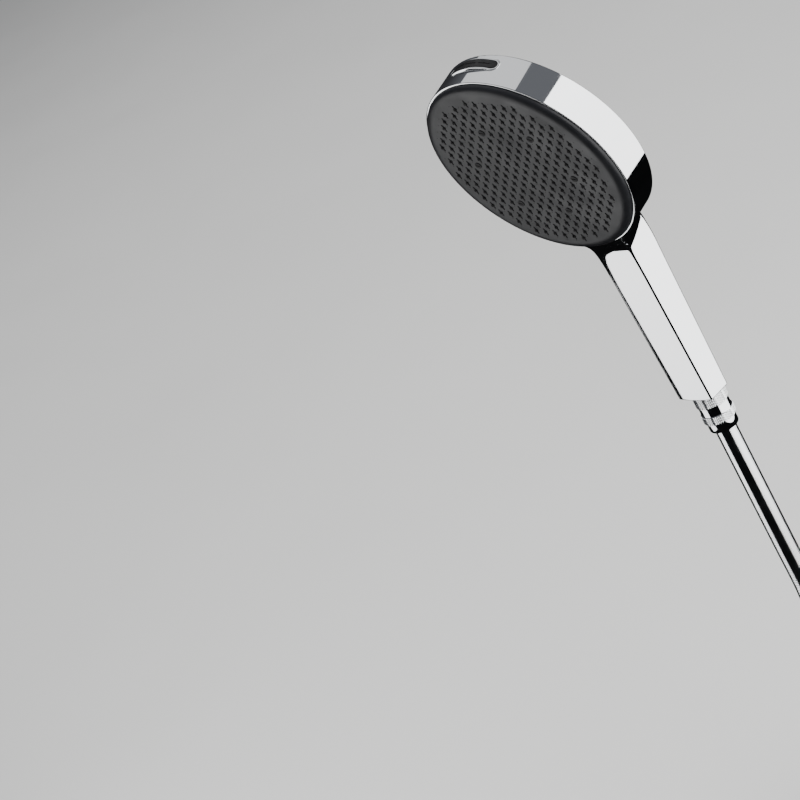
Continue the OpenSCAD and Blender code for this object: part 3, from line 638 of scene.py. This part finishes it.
def pillLoop(half, radius, count=16, straight=10):
    flat = half - radius
    loop = [(flat * (1 - 2 * k / straight), radius) for k in range(straight)]
    loop += [(-flat - radius * math.sin(math.pi * k / count), radius * math.cos(math.pi * k / count))
             for k in range(count)]
    loop += [(flat * (2 * k / straight - 1), -radius) for k in range(straight)]
    loop += [(flat + radius * math.sin(math.pi * k / count), -radius * math.cos(math.pi * k / count))
             for k in range(count)]
    return loop


def pillOnWall(v, r):
    return [headPoint(r * math.sin(x / r), r * math.cos(x / r), v["slotZ"] + z)
            for x, z in pillLoop(v["slotHalf"], v["slotRadius"])]


# The rim's wall is a grid, with a patch that runs round the button's slot
def rimWall(v, low, high):
    step = 360 / v["turns"]
    half = v["slotSteps"]
    r = v["radius"]
    rows, patchRings, patchEase = 6, 6, 1.3

    def wallPoint(s, z):
        a = s / r
        return headPoint(r * math.sin(a), r * math.cos(a), z)
    columns = range(half, v["turns"] - half + 1)
    grid = [[wallPoint(math.radians(step * k) * r, low + (high - low) * j / rows) for k in columns]
            for j in range(rows + 1)]
    parts = [ringsMesh(grid, closed=False)]
    edge = math.radians(step * half) * r
    inner = pillLoop(v["slotHalf"], v["slotRadius"])
    flat = v["slotHalf"] - v["slotRadius"]
    outer = []
    for x, z in inner:
        core = max(-flat, min(flat, x))
        dx, dz = (x - core) / v["slotRadius"], z / v["slotRadius"]
        reach = []
        if abs(dx) > 1e-6:
            reach.append(((edge if dx > 0 else -edge) - x) / dx)
        if abs(dz) > 1e-6:
            reach.append(((high if dz > 0 else low) - v["slotZ"] - z) / dz)
        t = min(reach)
        px, pz = x + dx * t, v["slotZ"] + z + dz * t
        if abs(abs(px) - edge) > 1e-3:
            column = round(math.degrees(px / r) / step)
            px = max(-edge, min(edge, column * math.radians(step) * r))
        outer.append([px, pz])
    for cx in (-edge, edge):
        for cz in (low, high):
            nearest = min(outer, key=lambda p: (p[0] - cx) ** 2 + (p[1] - cz) ** 2)
            nearest[0], nearest[1] = cx, cz
    rings = []
    for j in range(patchRings + 1):
        t = (j / patchRings) ** patchEase
        rings.append([wallPoint(x0 + (x1 - x0) * t, v["slotZ"] + z0 + (z1 - v["slotZ"] - z0) * t)
                      for (x0, z0), (x1, z1) in zip(inner, outer)])
    parts.append(ringsMesh(rings))
    return parts


def slotWalls(v):
    loop = pillLoop(v["slotHalf"], v["slotRadius"])
    r, flat = v["radius"], v["slotHalf"] - v["slotRadius"]

    def spot(x, z, grow, sink):
        core = max(-flat, min(flat, x))
        n = math.hypot(x - core, z)
        f = (n + grow) / n
        a = (core + (x - core) * f) / r
        return headPoint((r - sink) * math.sin(a), (r - sink) * math.cos(a), v["slotZ"] + z * f)
    steps = [  # how far outside the slot's edge, how deep below the rim
        (0.55, 0.35), (0.5, -0.02), (0.3, -0.16), (0.08, -0.12), (-0.04, 0.08), (-0.06, 0.5),
        (-0.06, 3.2), (0.5, 3.2), (0.55, 0.35),
    ]
    return ringsMesh([[spot(x, z, g, s) for x, z in loop] for g, s in steps])


# handle: one loft from its flat foot, flaring into the head
handleValues = {
    "foot": (31.0, 13.6), "top": (34.0, 19.0), "topHeight": 140.0, "side": 6.5, "back": 11.8,
    "corner": 2.2, "crownShare": 3.2, "frontCrown": 0.9, "footRound": 0.5,
    "neckHeight": 136.0, "neckSteps": 8,
    "neck": (  # height at the front and at the back, then what each size gains there
        (-28, -28, -0.6, -1.1, 0, 0, 0), (-18, -15, 0.1, -0.3, 0, -0.2, 0.2),
        (-11, -5, 1.7, 0.9, -0.9, -1.2, 0.6), (-6, 6, 5.2, 3.1, -3.2, -4.4, 1.2),
        (-1.5, 18, 12, 7, -9, -10.6, 2), (2.5, 30, 19, 9.2, -15.5, -18, 2.6),
        (7, 40, 24, 10.2, -21, -25.3, 3),
    ),
}
flatShares = (0.02, 0.15, 0.32, 0.5, 0.68, 0.85, 0.98)


def handleOutline(v, w, front, side, back, corner, crown):
    x, y = w / 2 - corner, side - corner
    d = y - back + crown
    lean = math.degrees(math.atan2(d, x) + math.acos((crown - corner) / math.hypot(x, d)))
    bulge = v["frontCrown"]
    right = [(x * k, -front - bulge * (0.35 - k * k)) for k in (0, *flatShares)]
    right += [(px, py + bulge * 0.65 * (1 - (py + front) / corner) if py < corner - front else py)
              for px, py in arcPoints(x, corner - front, corner, -90, 0, 8)]
    right += [(w / 2, corner - front + (side - 2 * corner + front) * k) for k in flatShares]
    right += arcPoints(x, y, corner, 0, lean, 6)
    right += arcPoints(0, back - crown, crown, lean, 90, 10)
    return right + [(-px, py) for px, py in reversed(right[1:-1])]


def blendStations(before, a, b, after, t):
    return [0.5 * (2 * q + (r - p) * t + (2 * p - 5 * q + 4 * r - u) * t * t
                   + (3 * q - p - 3 * r + u) * t**3)
            for p, q, r, u in zip(before, a, b, after)]


def handleLoft(v):
    def bar(z, inset=0.0):
        share = z / v["topHeight"]
        w, front = (a + (b - a) * share for a, b in zip(v["foot"], v["top"]))
        return [z, z, w - 2 * inset, front - inset, v["side"] - inset, v["back"] - inset,
                v["corner"] - inset, w / v["crownShare"]]

    def ring(s):
        low, high, w, front, side, back, corner, crown = s
        return [(x, y, low + (high - low) * (y + front) / (front + back))
                for x, y in handleOutline(v, w, front, side, back, corner, crown)]
    e = v["footRound"]
    rings = [ring(bar(e * h, e * inset)) for h, inset in ((0, 1), (0.1, 0.55), (0.35, 0.2), (1, 0))]
    rings += [ring(bar(z)) for z in (1, 20, 40, 60, 80, 90)]
    (w, front), side, back = v["top"], v["side"], v["back"]
    neck = [bar(88), bar(98)]
    for front0, back0, dw, dfront, dside, dback, dcorner in v["neck"]:
        neck.append([v["neckHeight"] + front0, v["neckHeight"] + back0, w + dw, front + dfront,
                     side + dside, back + dback, v["corner"] + dcorner, (w + dw) / v["crownShare"]])
    neck.append([2 * a - b for a, b in zip(neck[-1], neck[-2])])
    for k in range(1, len(neck) - 2):
        rings += [ring(blendStations(*neck[k - 1:k + 3], t / v["neckSteps"]))
                  for t in range(v["neckSteps"])]
    rings.append(ring(neck[-2]))
    return ringsMesh(rings, capStart=True, capEnd=True)


# The rim's wall and the dome get the exact normals of a cylinder and a dome
def trueNormals(v, mesh):
    local = []
    for vert in mesh.vertices:
        x, y, z = vert.co / mm
        y, z = y - v["originY"], z - v["originZ"]
        local.append((x, tiltCos * z - tiltSin * y, -tiltCos * y - tiltSin * z))
    near = 0.02
    limit = v["radius"] - v["backRound"] + near
    onWall = [abs(math.hypot(x, y) - v["radius"]) < near for x, y, z in local]
    onDome = [math.hypot(x, y) < limit and abs(z - domeHeight(v, math.hypot(x, y))) < near
              for x, y, z in local]
    normals = [(0.0, 0.0, 0.0)] * len(mesh.loops)
    slope = 2 * v["domeRise"] / (v["radius"] - v["backRound"]) ** 2
    for face in mesh.polygons:
        wall = all(onWall[k] for k in face.vertices)
        dome = all(onDome[k] for k in face.vertices)
        if wall or dome:
            for loop, k in zip(face.loop_indices, face.vertices):
                x, y, z = local[k]
                normals[loop] = tuple((headDirection(x, y, 0) if wall
                                       else headDirection(slope * x, slope * y, -1)).normalized())
    mesh.normals_split_custom_set(normals)


def addShell(v, handle):
    r, depth = v["radius"], v["depth"]
    back = [(poleRadius, domeHeight(v, 0))]
    back += [(x, domeHeight(v, x)) for x in [(r - v["backRound"]) * k / 24 for k in range(1, 25)]]
    back += arcPoints(r - v["backRound"], v["backRound"] - depth, v["backRound"], -90, 0, 5)[1:]
    front = arcPoints(r - v["frontRound"], -v["frontRound"], v["frontRound"], 0, 90, 5)
    lip, bevel = v["lipIn"], v["lipBevel"]
    front += [(lip + bevel, 0), (lip, -bevel), (lip, v["seatZ"]), (v["bore"], v["seatZ"])]
    parts = [lathe(back, v["turns"]), lathe(front, v["turns"]),
             lathe([(v["bore"], v["innerZ"]), (poleRadius, v["innerZ"])], v["turns"])]
    parts += rimWall(v, v["backRound"] - depth, -v["frontRound"])
    parts += rimWall(dict(v, radius=v["bore"]), v["innerZ"], v["seatZ"])
    parts.append(ringsMesh([pillOnWall(v, q) for q in (r, r - v["slotRing"], v["bore"])]))
    parts.append(handleLoft(handle))
    verts, faces = joinParts(parts)
    chrome = finishes["chrome_shell"]
    shell = meshObject("handsetShell", verts, faces, "handset", "chrome_shell", chrome, 40)
    trueNormals(v, shell.data)
    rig.replaces(shell, "body_shell")
    verts, faces = slotWalls(v)
    meshObject("slotLip", verts, faces, "handset", "chrome_shell", chrome, 60)


addShell(headValues, handleValues)
print("shell made")

# face: a flat field with a rounded shoulder
faceValues = {
    "outer": 73.62, "field": 66.65, "rise": 4.7, "edgeLift": 0.25, "turns": 160, "steps": 18,
    "pitch": 7.6, "turn": -15.0, "margin": 3.6, "fanSteps": 5,
    "nubRadius": 1.08, "nubHole": 0.45, "nubProud": 0.85, "finHalf": 3.1, "finWide": 0.52, "finProud": 0.34,
    "dotRadius": 0.3, "dotMargin": 1.2, "dotGap": 4.0,
    "backZ": -2.5, "shoulderPowers": (0.9, 0.95),
}


def addFace(v):
    width, height = v["outer"] - v["field"], v["rise"] - v["edgeLift"]
    profile = [(poleRadius, v["backZ"]), (v["outer"], v["backZ"]), (v["outer"], 0)]
    across, upward = v["shoulderPowers"]
    for k in range(v["steps"] + 1):
        a = math.radians(90 * k / v["steps"])
        profile.append((v["field"] + width * math.cos(a) ** across,
                        v["edgeLift"] + height * math.sin(a) ** upward))
    profile += [(r, v["rise"]) for r in (60, 45, 30, 15, poleRadius)]
    verts, faces = lathe(profile, v["turns"])
    face = meshObject("facePlate", verts, faces, "handset", "face_plastic",
                      finishes["face_plastic"], 40)
    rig.replaces(face, "face_plate")


def latticePoints(v, shiftI, shiftJ, limit):
    a = math.radians(v["turn"])
    out = []
    span = int(v["field"] / v["pitch"]) + 6
    for i in range(-2 * span, 2 * span + 1):
        for j in range(-span, span + 1):
            x0 = v["pitch"] * (i + shiftI + (j + shiftJ) / 2)
            y0 = v["pitch"] * (j + shiftJ) * math.sqrt(3) / 2
            x, y = x0 * math.cos(a) - y0 * math.sin(a), x0 * math.sin(a) + y0 * math.cos(a)
            if math.hypot(x, y) < limit:
                out.append((x, y))
    return out


def awayFromFans(v, points, gap):
    reach = v["pitch"] * v["fanSteps"]
    turns = [math.radians(60 * k + v["turn"]) for k in range(6)]
    fans = [(reach * math.cos(a), reach * math.sin(a)) for a in turns]
    return [p for p in points if min(math.dist(p, f) for f in fans) > gap]


def inHead(points):
    return [tuple(headDirection(*p)) for p in points]


def roundRing(radius, z, sides):
    turns = [2 * math.pi * k / sides for k in range(sides)]
    return inHead([(radius * math.cos(a), radius * math.sin(a), z) for a in turns])


def nozzleTemplate(v):
    r, hole, top = v["nubRadius"], v["nubHole"], v["nubProud"]
    profile = [(r + 0.12, -0.3), (r + 0.08, 0.12), (r, top - 0.25), (r - 0.2, top),
               (hole, top), (hole, top - 0.6)]
    nub = ringsMesh([roundRing(radius, z, 12) for radius, z in profile], capStart=True, capEnd=True)
    w, h = v["finWide"], v["finHalf"]
    tip = w * 0.55
    shape = [(-w, -h + w), (-tip, -h), (tip, -h), (w, -h + w),
             (w, h - w), (tip, h), (-tip, h), (-w, h - w)]
    levels = ((1, 1, -0.2), (1, 1, v["finProud"] - 0.12), (0.72, 0.96, v["finProud"]))
    rings = [inHead([(x * across, y * along, z) for x, y in shape]) for across, along, z in levels]
    return joinParts([nub, ringsMesh(rings, capStart=True, capEnd=True)])


def addNozzles(v):
    points = awayFromFans(v, latticePoints(v, 0, 0, v["field"] - v["margin"]), v["pitch"] / 2)
    verts, faces = nozzleTemplate(v)
    places = [headPoint(x, y, v["rise"]) for x, y in points]
    nozzles = repeatOnPoints("sprayNozzles", places, templateMesh("nozzleShape", verts, faces),
                             "handset", "nozzle_silicone", finishes["nozzle_silicone"])
    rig.replaces(nozzles, "nozzle_mat")
    dots = awayFromFans(v, latticePoints(v, 1 / 3, 1 / 3, v["field"] - v["dotMargin"]), v["dotGap"])
    levels = ((1, -0.1), (0.9, 0.08), (0.4, 0.16))  # share of the dot's radius, height
    rings = [roundRing(v["dotRadius"] * share, z, 8) for share, z in levels]
    verts, faces = ringsMesh(rings, capStart=True, capEnd=True)
    places = [headPoint(x, y, v["rise"]) for x, y in dots]
    repeatOnPoints("faceDots", places, templateMesh("dotShape", verts, faces),
                   "handset", "nozzle_silicone", finishes["nozzle_silicone"])
    return len(points)


addFace(faceValues)
print("nozzles made", addNozzles(faceValues))

# button: a crowned cap in the slot with a black grip set into it
buttonValues = {
    "half": 22.05, "radius": 4.45, "top": 77.0, "crownRadius": 48.4, "low": 65.55, "middleZ": -15.5,
    "chromeBand": 1.05, "gripGap": 0.12, "edgeRound": 0.45, "gripRise": 0.12,
    "dimples": 9, "dimplePitch": 3.8, "dimpleHalf": 0.8, "dimpleWide": 0.42, "dimpleDeep": 0.6,
}


def crownHeight(v, x):
    return v["top"] - v["crownRadius"] + math.sqrt(v["crownRadius"] ** 2 - x * x)


def pillRing(v, inward, drop, low=None):
    loop = pillLoop(v["half"] - inward, max(0.02, v["radius"] - inward), 14, 20)
    return [headPoint(x, (crownHeight(v, x) - drop) if low is None else low, v["middleZ"] + z)
            for x, z in loop]


def addButton(v):
    e = v["edgeRound"]
    cap = [pillRing(v, 0, 0, v["low"])]
    cap += [pillRing(v, e * (1 - math.cos(a)), e * (1 - math.sin(a)))
            for a in (0, 0.4, 0.8, 1.2, math.pi / 2)]
    band = v["chromeBand"]
    cap += [pillRing(v, band - 0.12, 0), pillRing(v, band, 0.1), pillRing(v, band + 0.02, 1.6),
            pillRing(v, v["radius"] - 0.05, 1.6)]
    verts, faces = ringsMesh(cap, capStart=True, capEnd=True)
    body = meshObject("buttonCap", verts, faces, "button", "chrome_button", finishes["chrome_button"], 45)
    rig.replaces(body, "button_cap")
    start = band + v["gripGap"]
    rise = v["gripRise"]
    levels = ((0, 1.5), (0, 0.25), (0.08, 0.02), (0.3, -rise * 0.7),
              (0.7, -rise), (1.4, -rise), (2.2, -rise))
    grip = [pillRing(v, start + inward, drop) for inward, drop in levels]
    grip.append(pillRing(v, v["radius"] - 0.3, -rise))
    verts, faces = ringsMesh(grip, capStart=True, capEnd=True)
    insert = meshObject("buttonGrip", verts, faces, None, None, finishes["grip_rubber"], 40)
    cutters = dimpleCutters(v)
    cut = insert.modifiers.new("dimples", "BOOLEAN")
    cut.object, cut.operation, cut.solver = cutters, "DIFFERENCE", "EXACT"
    bpy.context.view_layer.update()
    shown = insert.evaluated_get(bpy.context.evaluated_depsgraph_get())
    made = bpy.data.meshes.new_from_object(shown)
    insert.modifiers.remove(cut)
    dropObject(cutters)
    dropObject(insert)
    insert = finishMesh("buttonGrip", made, "button", "grip_rubber", finishes["grip_rubber"], 40)
    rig.replaces(insert, "button_insert")


def dimpleCutters(v):
    rows, sides, rings = 6, 14, []
    turns = [2 * math.pi * k / sides for k in range(sides)]
    for j in range(rows + 1):
        a = math.pi * j / rows - math.pi / 2
        r = max(0.02, math.cos(a))
        rings.append(inHead([(v["dimpleWide"] * r * math.cos(b), v["dimpleDeep"] * math.sin(a),
                              v["dimpleHalf"] * r * math.sin(b)) for b in turns]))
    verts, faces = ringsMesh(rings, capStart=True, capEnd=True)
    points = []
    for k in range(v["dimples"]):
        x = (k - (v["dimples"] - 1) / 2) * v["dimplePitch"]
        points.append(headPoint(x, crownHeight(v, x) + 0.15, v["middleZ"]))
    return repeatOnPoints("dimpleShapes", points, templateMesh("dimpleShape", verts, faces),
                          None, None, finishes["grip_rubber"])


addButton(buttonValues)
print("button made")

# nuts: a turned body with knurled bands
nutValues = {
    "bands": ((-0.6, -10.2), (-17.1, -23.3)),
    "bandRadius": 11.62, "waistRadius": 11.05, "footRadius": 10.6, "mouthRadius": 10.55,
    "bore": 8.85, "end": -30.5, "turns": 96,
    "teeth": 44, "rowHeight": 1.55, "toothProud": 0.42, "toothShare": 0.93,
}
wallNutValues = dict(nutValues, bands=((-4.2, -12.9), (-16.0, -21.4)), end=-23.1)
wallEnd = (-43, 34, -412)


def turnedNut(name, v, body, node, place):
    (a1, a2), (b1, b2) = v["bands"]
    band, waist, foot, turns = v["bandRadius"], v["waistRadius"], v["footRadius"], v["turns"]
    mouth, bore, end = v["mouthRadius"], v["bore"], v["end"]
    profile = [(mouth, a1 - 6), (mouth, a1 + 0.05), (band - 0.35, a1 + 0.05), (band, a1 - 0.3),
               (band, a2 + 0.2), (band - 0.25, a2), (waist, a2 - 0.35),
               (waist, b1 + 0.35), (band - 0.25, b1), (band, b1 - 0.2),
               (band, b2 + 0.2), (band - 0.25, b2), (foot, b2 - 0.35),
               (foot, end + 0.5), (foot - 0.15, end + 0.15), (foot - 0.5, end),
               (bore, end), (bore, end + 5)]
    profile.append(profile[0])
    verts, faces = lathe(profile, turns, place)
    nut = meshObject(name, verts, faces, body, "chrome_nut", finishes["chrome_nut"], 35)
    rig.replaces(nut, node)
    points, pitch = [], v["rowHeight"]
    for top, low in v["bands"]:
        rows = int((top - low - 0.7) / (pitch / 2))
        for j in range(rows):
            z = (top + low) / 2 + (j - (rows - 1) / 2) * pitch / 2
            for k in range(v["teeth"]):
                a = 2 * math.pi * (k + (j % 2) / 2) / v["teeth"]
                points.append(place((band - 0.05) * math.cos(a), (band - 0.05) * math.sin(a), z))
    w = math.pi * band / v["teeth"] * v["toothShare"]
    h = pitch / 2 * v["toothShare"]
    verts = [(x, y * share, z * share) for x, share in ((0, 1), (v["toothProud"], 0.3))
             for y, z in ((-w, 0), (0, -h), (w, 0), (0, h))]
    faces = [(0, 1, 5, 4), (1, 2, 6, 5), (2, 3, 7, 6), (3, 0, 4, 7), (4, 5, 6, 7), (3, 2, 1, 0)]
    centre = Vector(place(0, 0, 0)) * mm
    local = [(Vector(p) - Vector(place(0, 0, 0))) for p in points]
    knurl = repeatOnPoints(name + "Knurl", local, templateMesh(name + "Tooth", verts, faces),
                           None, None, finishes["chrome_nut"], True, 10)
    knurl.data.transform(Matrix.Translation(centre))
    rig.ride(knurl, body)
    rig.slot(knurl, "chrome_nut")


def upright(x, y, z):
    return (x, y, z)


def farEnd(x, y, z):
    return (x + wallEnd[0], y + wallEnd[1], wallEnd[2] - z)


turnedNut("hoseNut", nutValues, "handset", "hose_nut", upright)
turnedNut("wallNut", wallNutValues, "wall_end", "wall_nut", farEnd)
print("nuts made")

# ties round the coil
tieValues = {"angles": (0, 230), "width": 12.0, "thick": 1.4, "round": 5.0, "gap": 0.4, "edge": 0.2}


def roundedLoop(halfX, halfY, radius, steps=6):
    loop = []
    for cx, cy, start in ((1, 1, 0), (-1, 1, 90), (-1, -1, 180), (1, -1, 270)):
        loop += arcPoints(cx * (halfX - radius), cy * (halfY - radius), radius, start, start + 90, steps)
    return loop


def addTies(v, hose):
    parts = []
    span = hose["coilPitch"] * hose["turns"]
    halfX = hose["outside"] / 2 + v["gap"]
    halfY = (span + hose["outside"]) / 2 + v["gap"]
    middle = Vector(hose["coilMiddle"]) + Vector((0, span / 2, 0))
    for angle in v["angles"]:
        a = math.radians(angle)

        def place(out, along, up):
            x, z = hose["coilRadius"] + out, up
            return (middle.x + x * math.cos(a) - z * math.sin(a), middle.y + along,
                    middle.z + x * math.sin(a) + z * math.cos(a))
        inner = roundedLoop(halfX, halfY, v["round"])
        outer = roundedLoop(halfX + v["thick"], halfY + v["thick"], v["round"] + v["thick"])
        h = v["width"] / 2
        section = [(inner, -h), (inner, h), (outer, h - v["edge"]), (outer, v["edge"] - h), (inner, -h)]
        parts.append(ringsMesh([[place(x, y, z) for x, y in loop] for loop, z in section]))
    verts, faces = joinParts(parts)
    ties = meshObject("coilTies", verts, faces, "hose", "tie_strap", finishes["tie_strap"], 40)
    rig.replaces(ties, "coil_ties")
    return ties


coilStraps = addTies(tieValues, hoseValues)
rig.cord(showerHose, exit=hoseValues["exit"], length=hoseValues["length"],
        diameter=hoseValues["outside"] * mm, far_end="fitting", stiffness="stiff", lay="coiled",
        path=hosePath,
        with_pieces=[coilStraps, "lower_sleeve", "lower_ferrule", "wallNut", "wallNutKnurl", "wall_washer"])
print("ties made")

# studio: pale floor, soft light
studioValues = {
    "floorZ": -0.409, "floorReach": 12.0, "floorColour": (0.66, 0.66, 0.65),
    "skyLow": (0.035, 0.036, 0.040), "skyHigh": (0.16, 0.165, 0.18), "skyStrength": 0.9,
    "skyFade": (0.02, 0.9),
    "flagColour": (0.035, 0.035, 0.037), "flagDrop": 1.6, "flagReach": 9.0,
    "panels": (  # name, place, aim, width, height, power, whether chrome mirrors it
        ("sidePanel", (0.86, 0.40, 0.38), (0.0, 0.0, 0.38), 1.9, 2.16, 46, True),
        ("lowPanel", (-0.636, -0.706, -0.205), (0.0, 0.0, -0.205), 0.76, 1.09, 6.4, True),
        ("backPanel", (-0.64, 0.38, 1.55), (0.0, -0.03, 0.15), 1.0, 1.5, 3.4, True),
        ("fillPanel", (-0.9, 0.9, 3.4), (-0.9, 0.9, -0.4), 4.5, 4.5, 230, False),
    ),
}


def levelSheet(name, r, z):
    data = bpy.data.meshes.new(name)
    data.from_pydata([(x, y, z) for x, y in ((-r, -r), (r, -r), (r, r), (-r, r))], [], [(0, 1, 2, 3)])
    sheet = bpy.data.objects.new(name, data)
    scene.collection.objects.link(sheet)
    return sheet


def addStudio(v):
    floor = levelSheet("floor", v["floorReach"], v["floorZ"])
    f = Finish("paleFloor", v["floorColour"], 0.7)
    f.roughen(f.noise(6, 4), 0.6, 0.8)
    f.tint(f.noise(1.5, 3), tuple(c * 0.97 for c in v["floorColour"]), 0.6)
    f.bump(f.noise(400, 3), 1e-4, 0.1)
    floor.data.materials.append(f.mat)
    floor.visible_glossy = False
    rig.stage(floor)
    # The flag is a dark sheet that only mirrors see, so that the chrome shows dark gaps
    flag = levelSheet("flag", v["flagReach"], v["floorZ"] - v["flagDrop"])
    flag.data.materials.append(Finish("flagCloth", v["flagColour"], 0.9).mat)
    for ray in ("camera", "diffuse", "transmission", "volume_scatter", "shadow"):
        setattr(flag, "visible_" + ray, False)
    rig.stage(flag)
    world = bpy.data.worlds.new("studio")
    world.use_nodes = True
    tree = world.node_tree
    sky = tree.nodes["Background"]
    sky.inputs["Strength"].default_value = v["skyStrength"]
    coords = tree.nodes.new("ShaderNodeTexCoord")
    split = tree.nodes.new("ShaderNodeSeparateXYZ")
    grade = tree.nodes.new("ShaderNodeMapRange")
    grade.interpolation_type = "SMOOTHSTEP"
    grade.inputs["From Min"].default_value, grade.inputs["From Max"].default_value = v["skyFade"]
    mix = tree.nodes.new("ShaderNodeMix")
    mix.data_type = "RGBA"
    mix.inputs[6].default_value = (*v["skyLow"], 1)
    mix.inputs[7].default_value = (*v["skyHigh"], 1)
    wire(tree, (coords.outputs["Generated"], split.inputs[0]), (split.outputs["Z"], grade.inputs["Value"]),
         (grade.outputs["Result"], mix.inputs[0]), (mix.outputs[2], sky.inputs["Color"]))
    scene.world = world
    for name, place, aim, wide, tall, power, mirrored in v["panels"]:
        data = bpy.data.lights.new(name, "AREA")
        data.shape, data.size, data.size_y, data.energy = "RECTANGLE", wide, tall, power
        lamp = bpy.data.objects.new(name, data)
        lamp.location = place
        lamp.rotation_euler = (Vector(aim) - Vector(place)).to_track_quat("-Z", "Y").to_euler()
        lamp.visible_camera = False
        lamp.visible_glossy = mirrored
        scene.collection.objects.link(lamp)


addStudio(studioValues)
print("studio made")

low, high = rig.bounds()
with open("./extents.json", "w") as f:
    json.dump({"cad": [list(cadLow), list(cadHigh)], "visual": [list(low), list(high)]}, f)
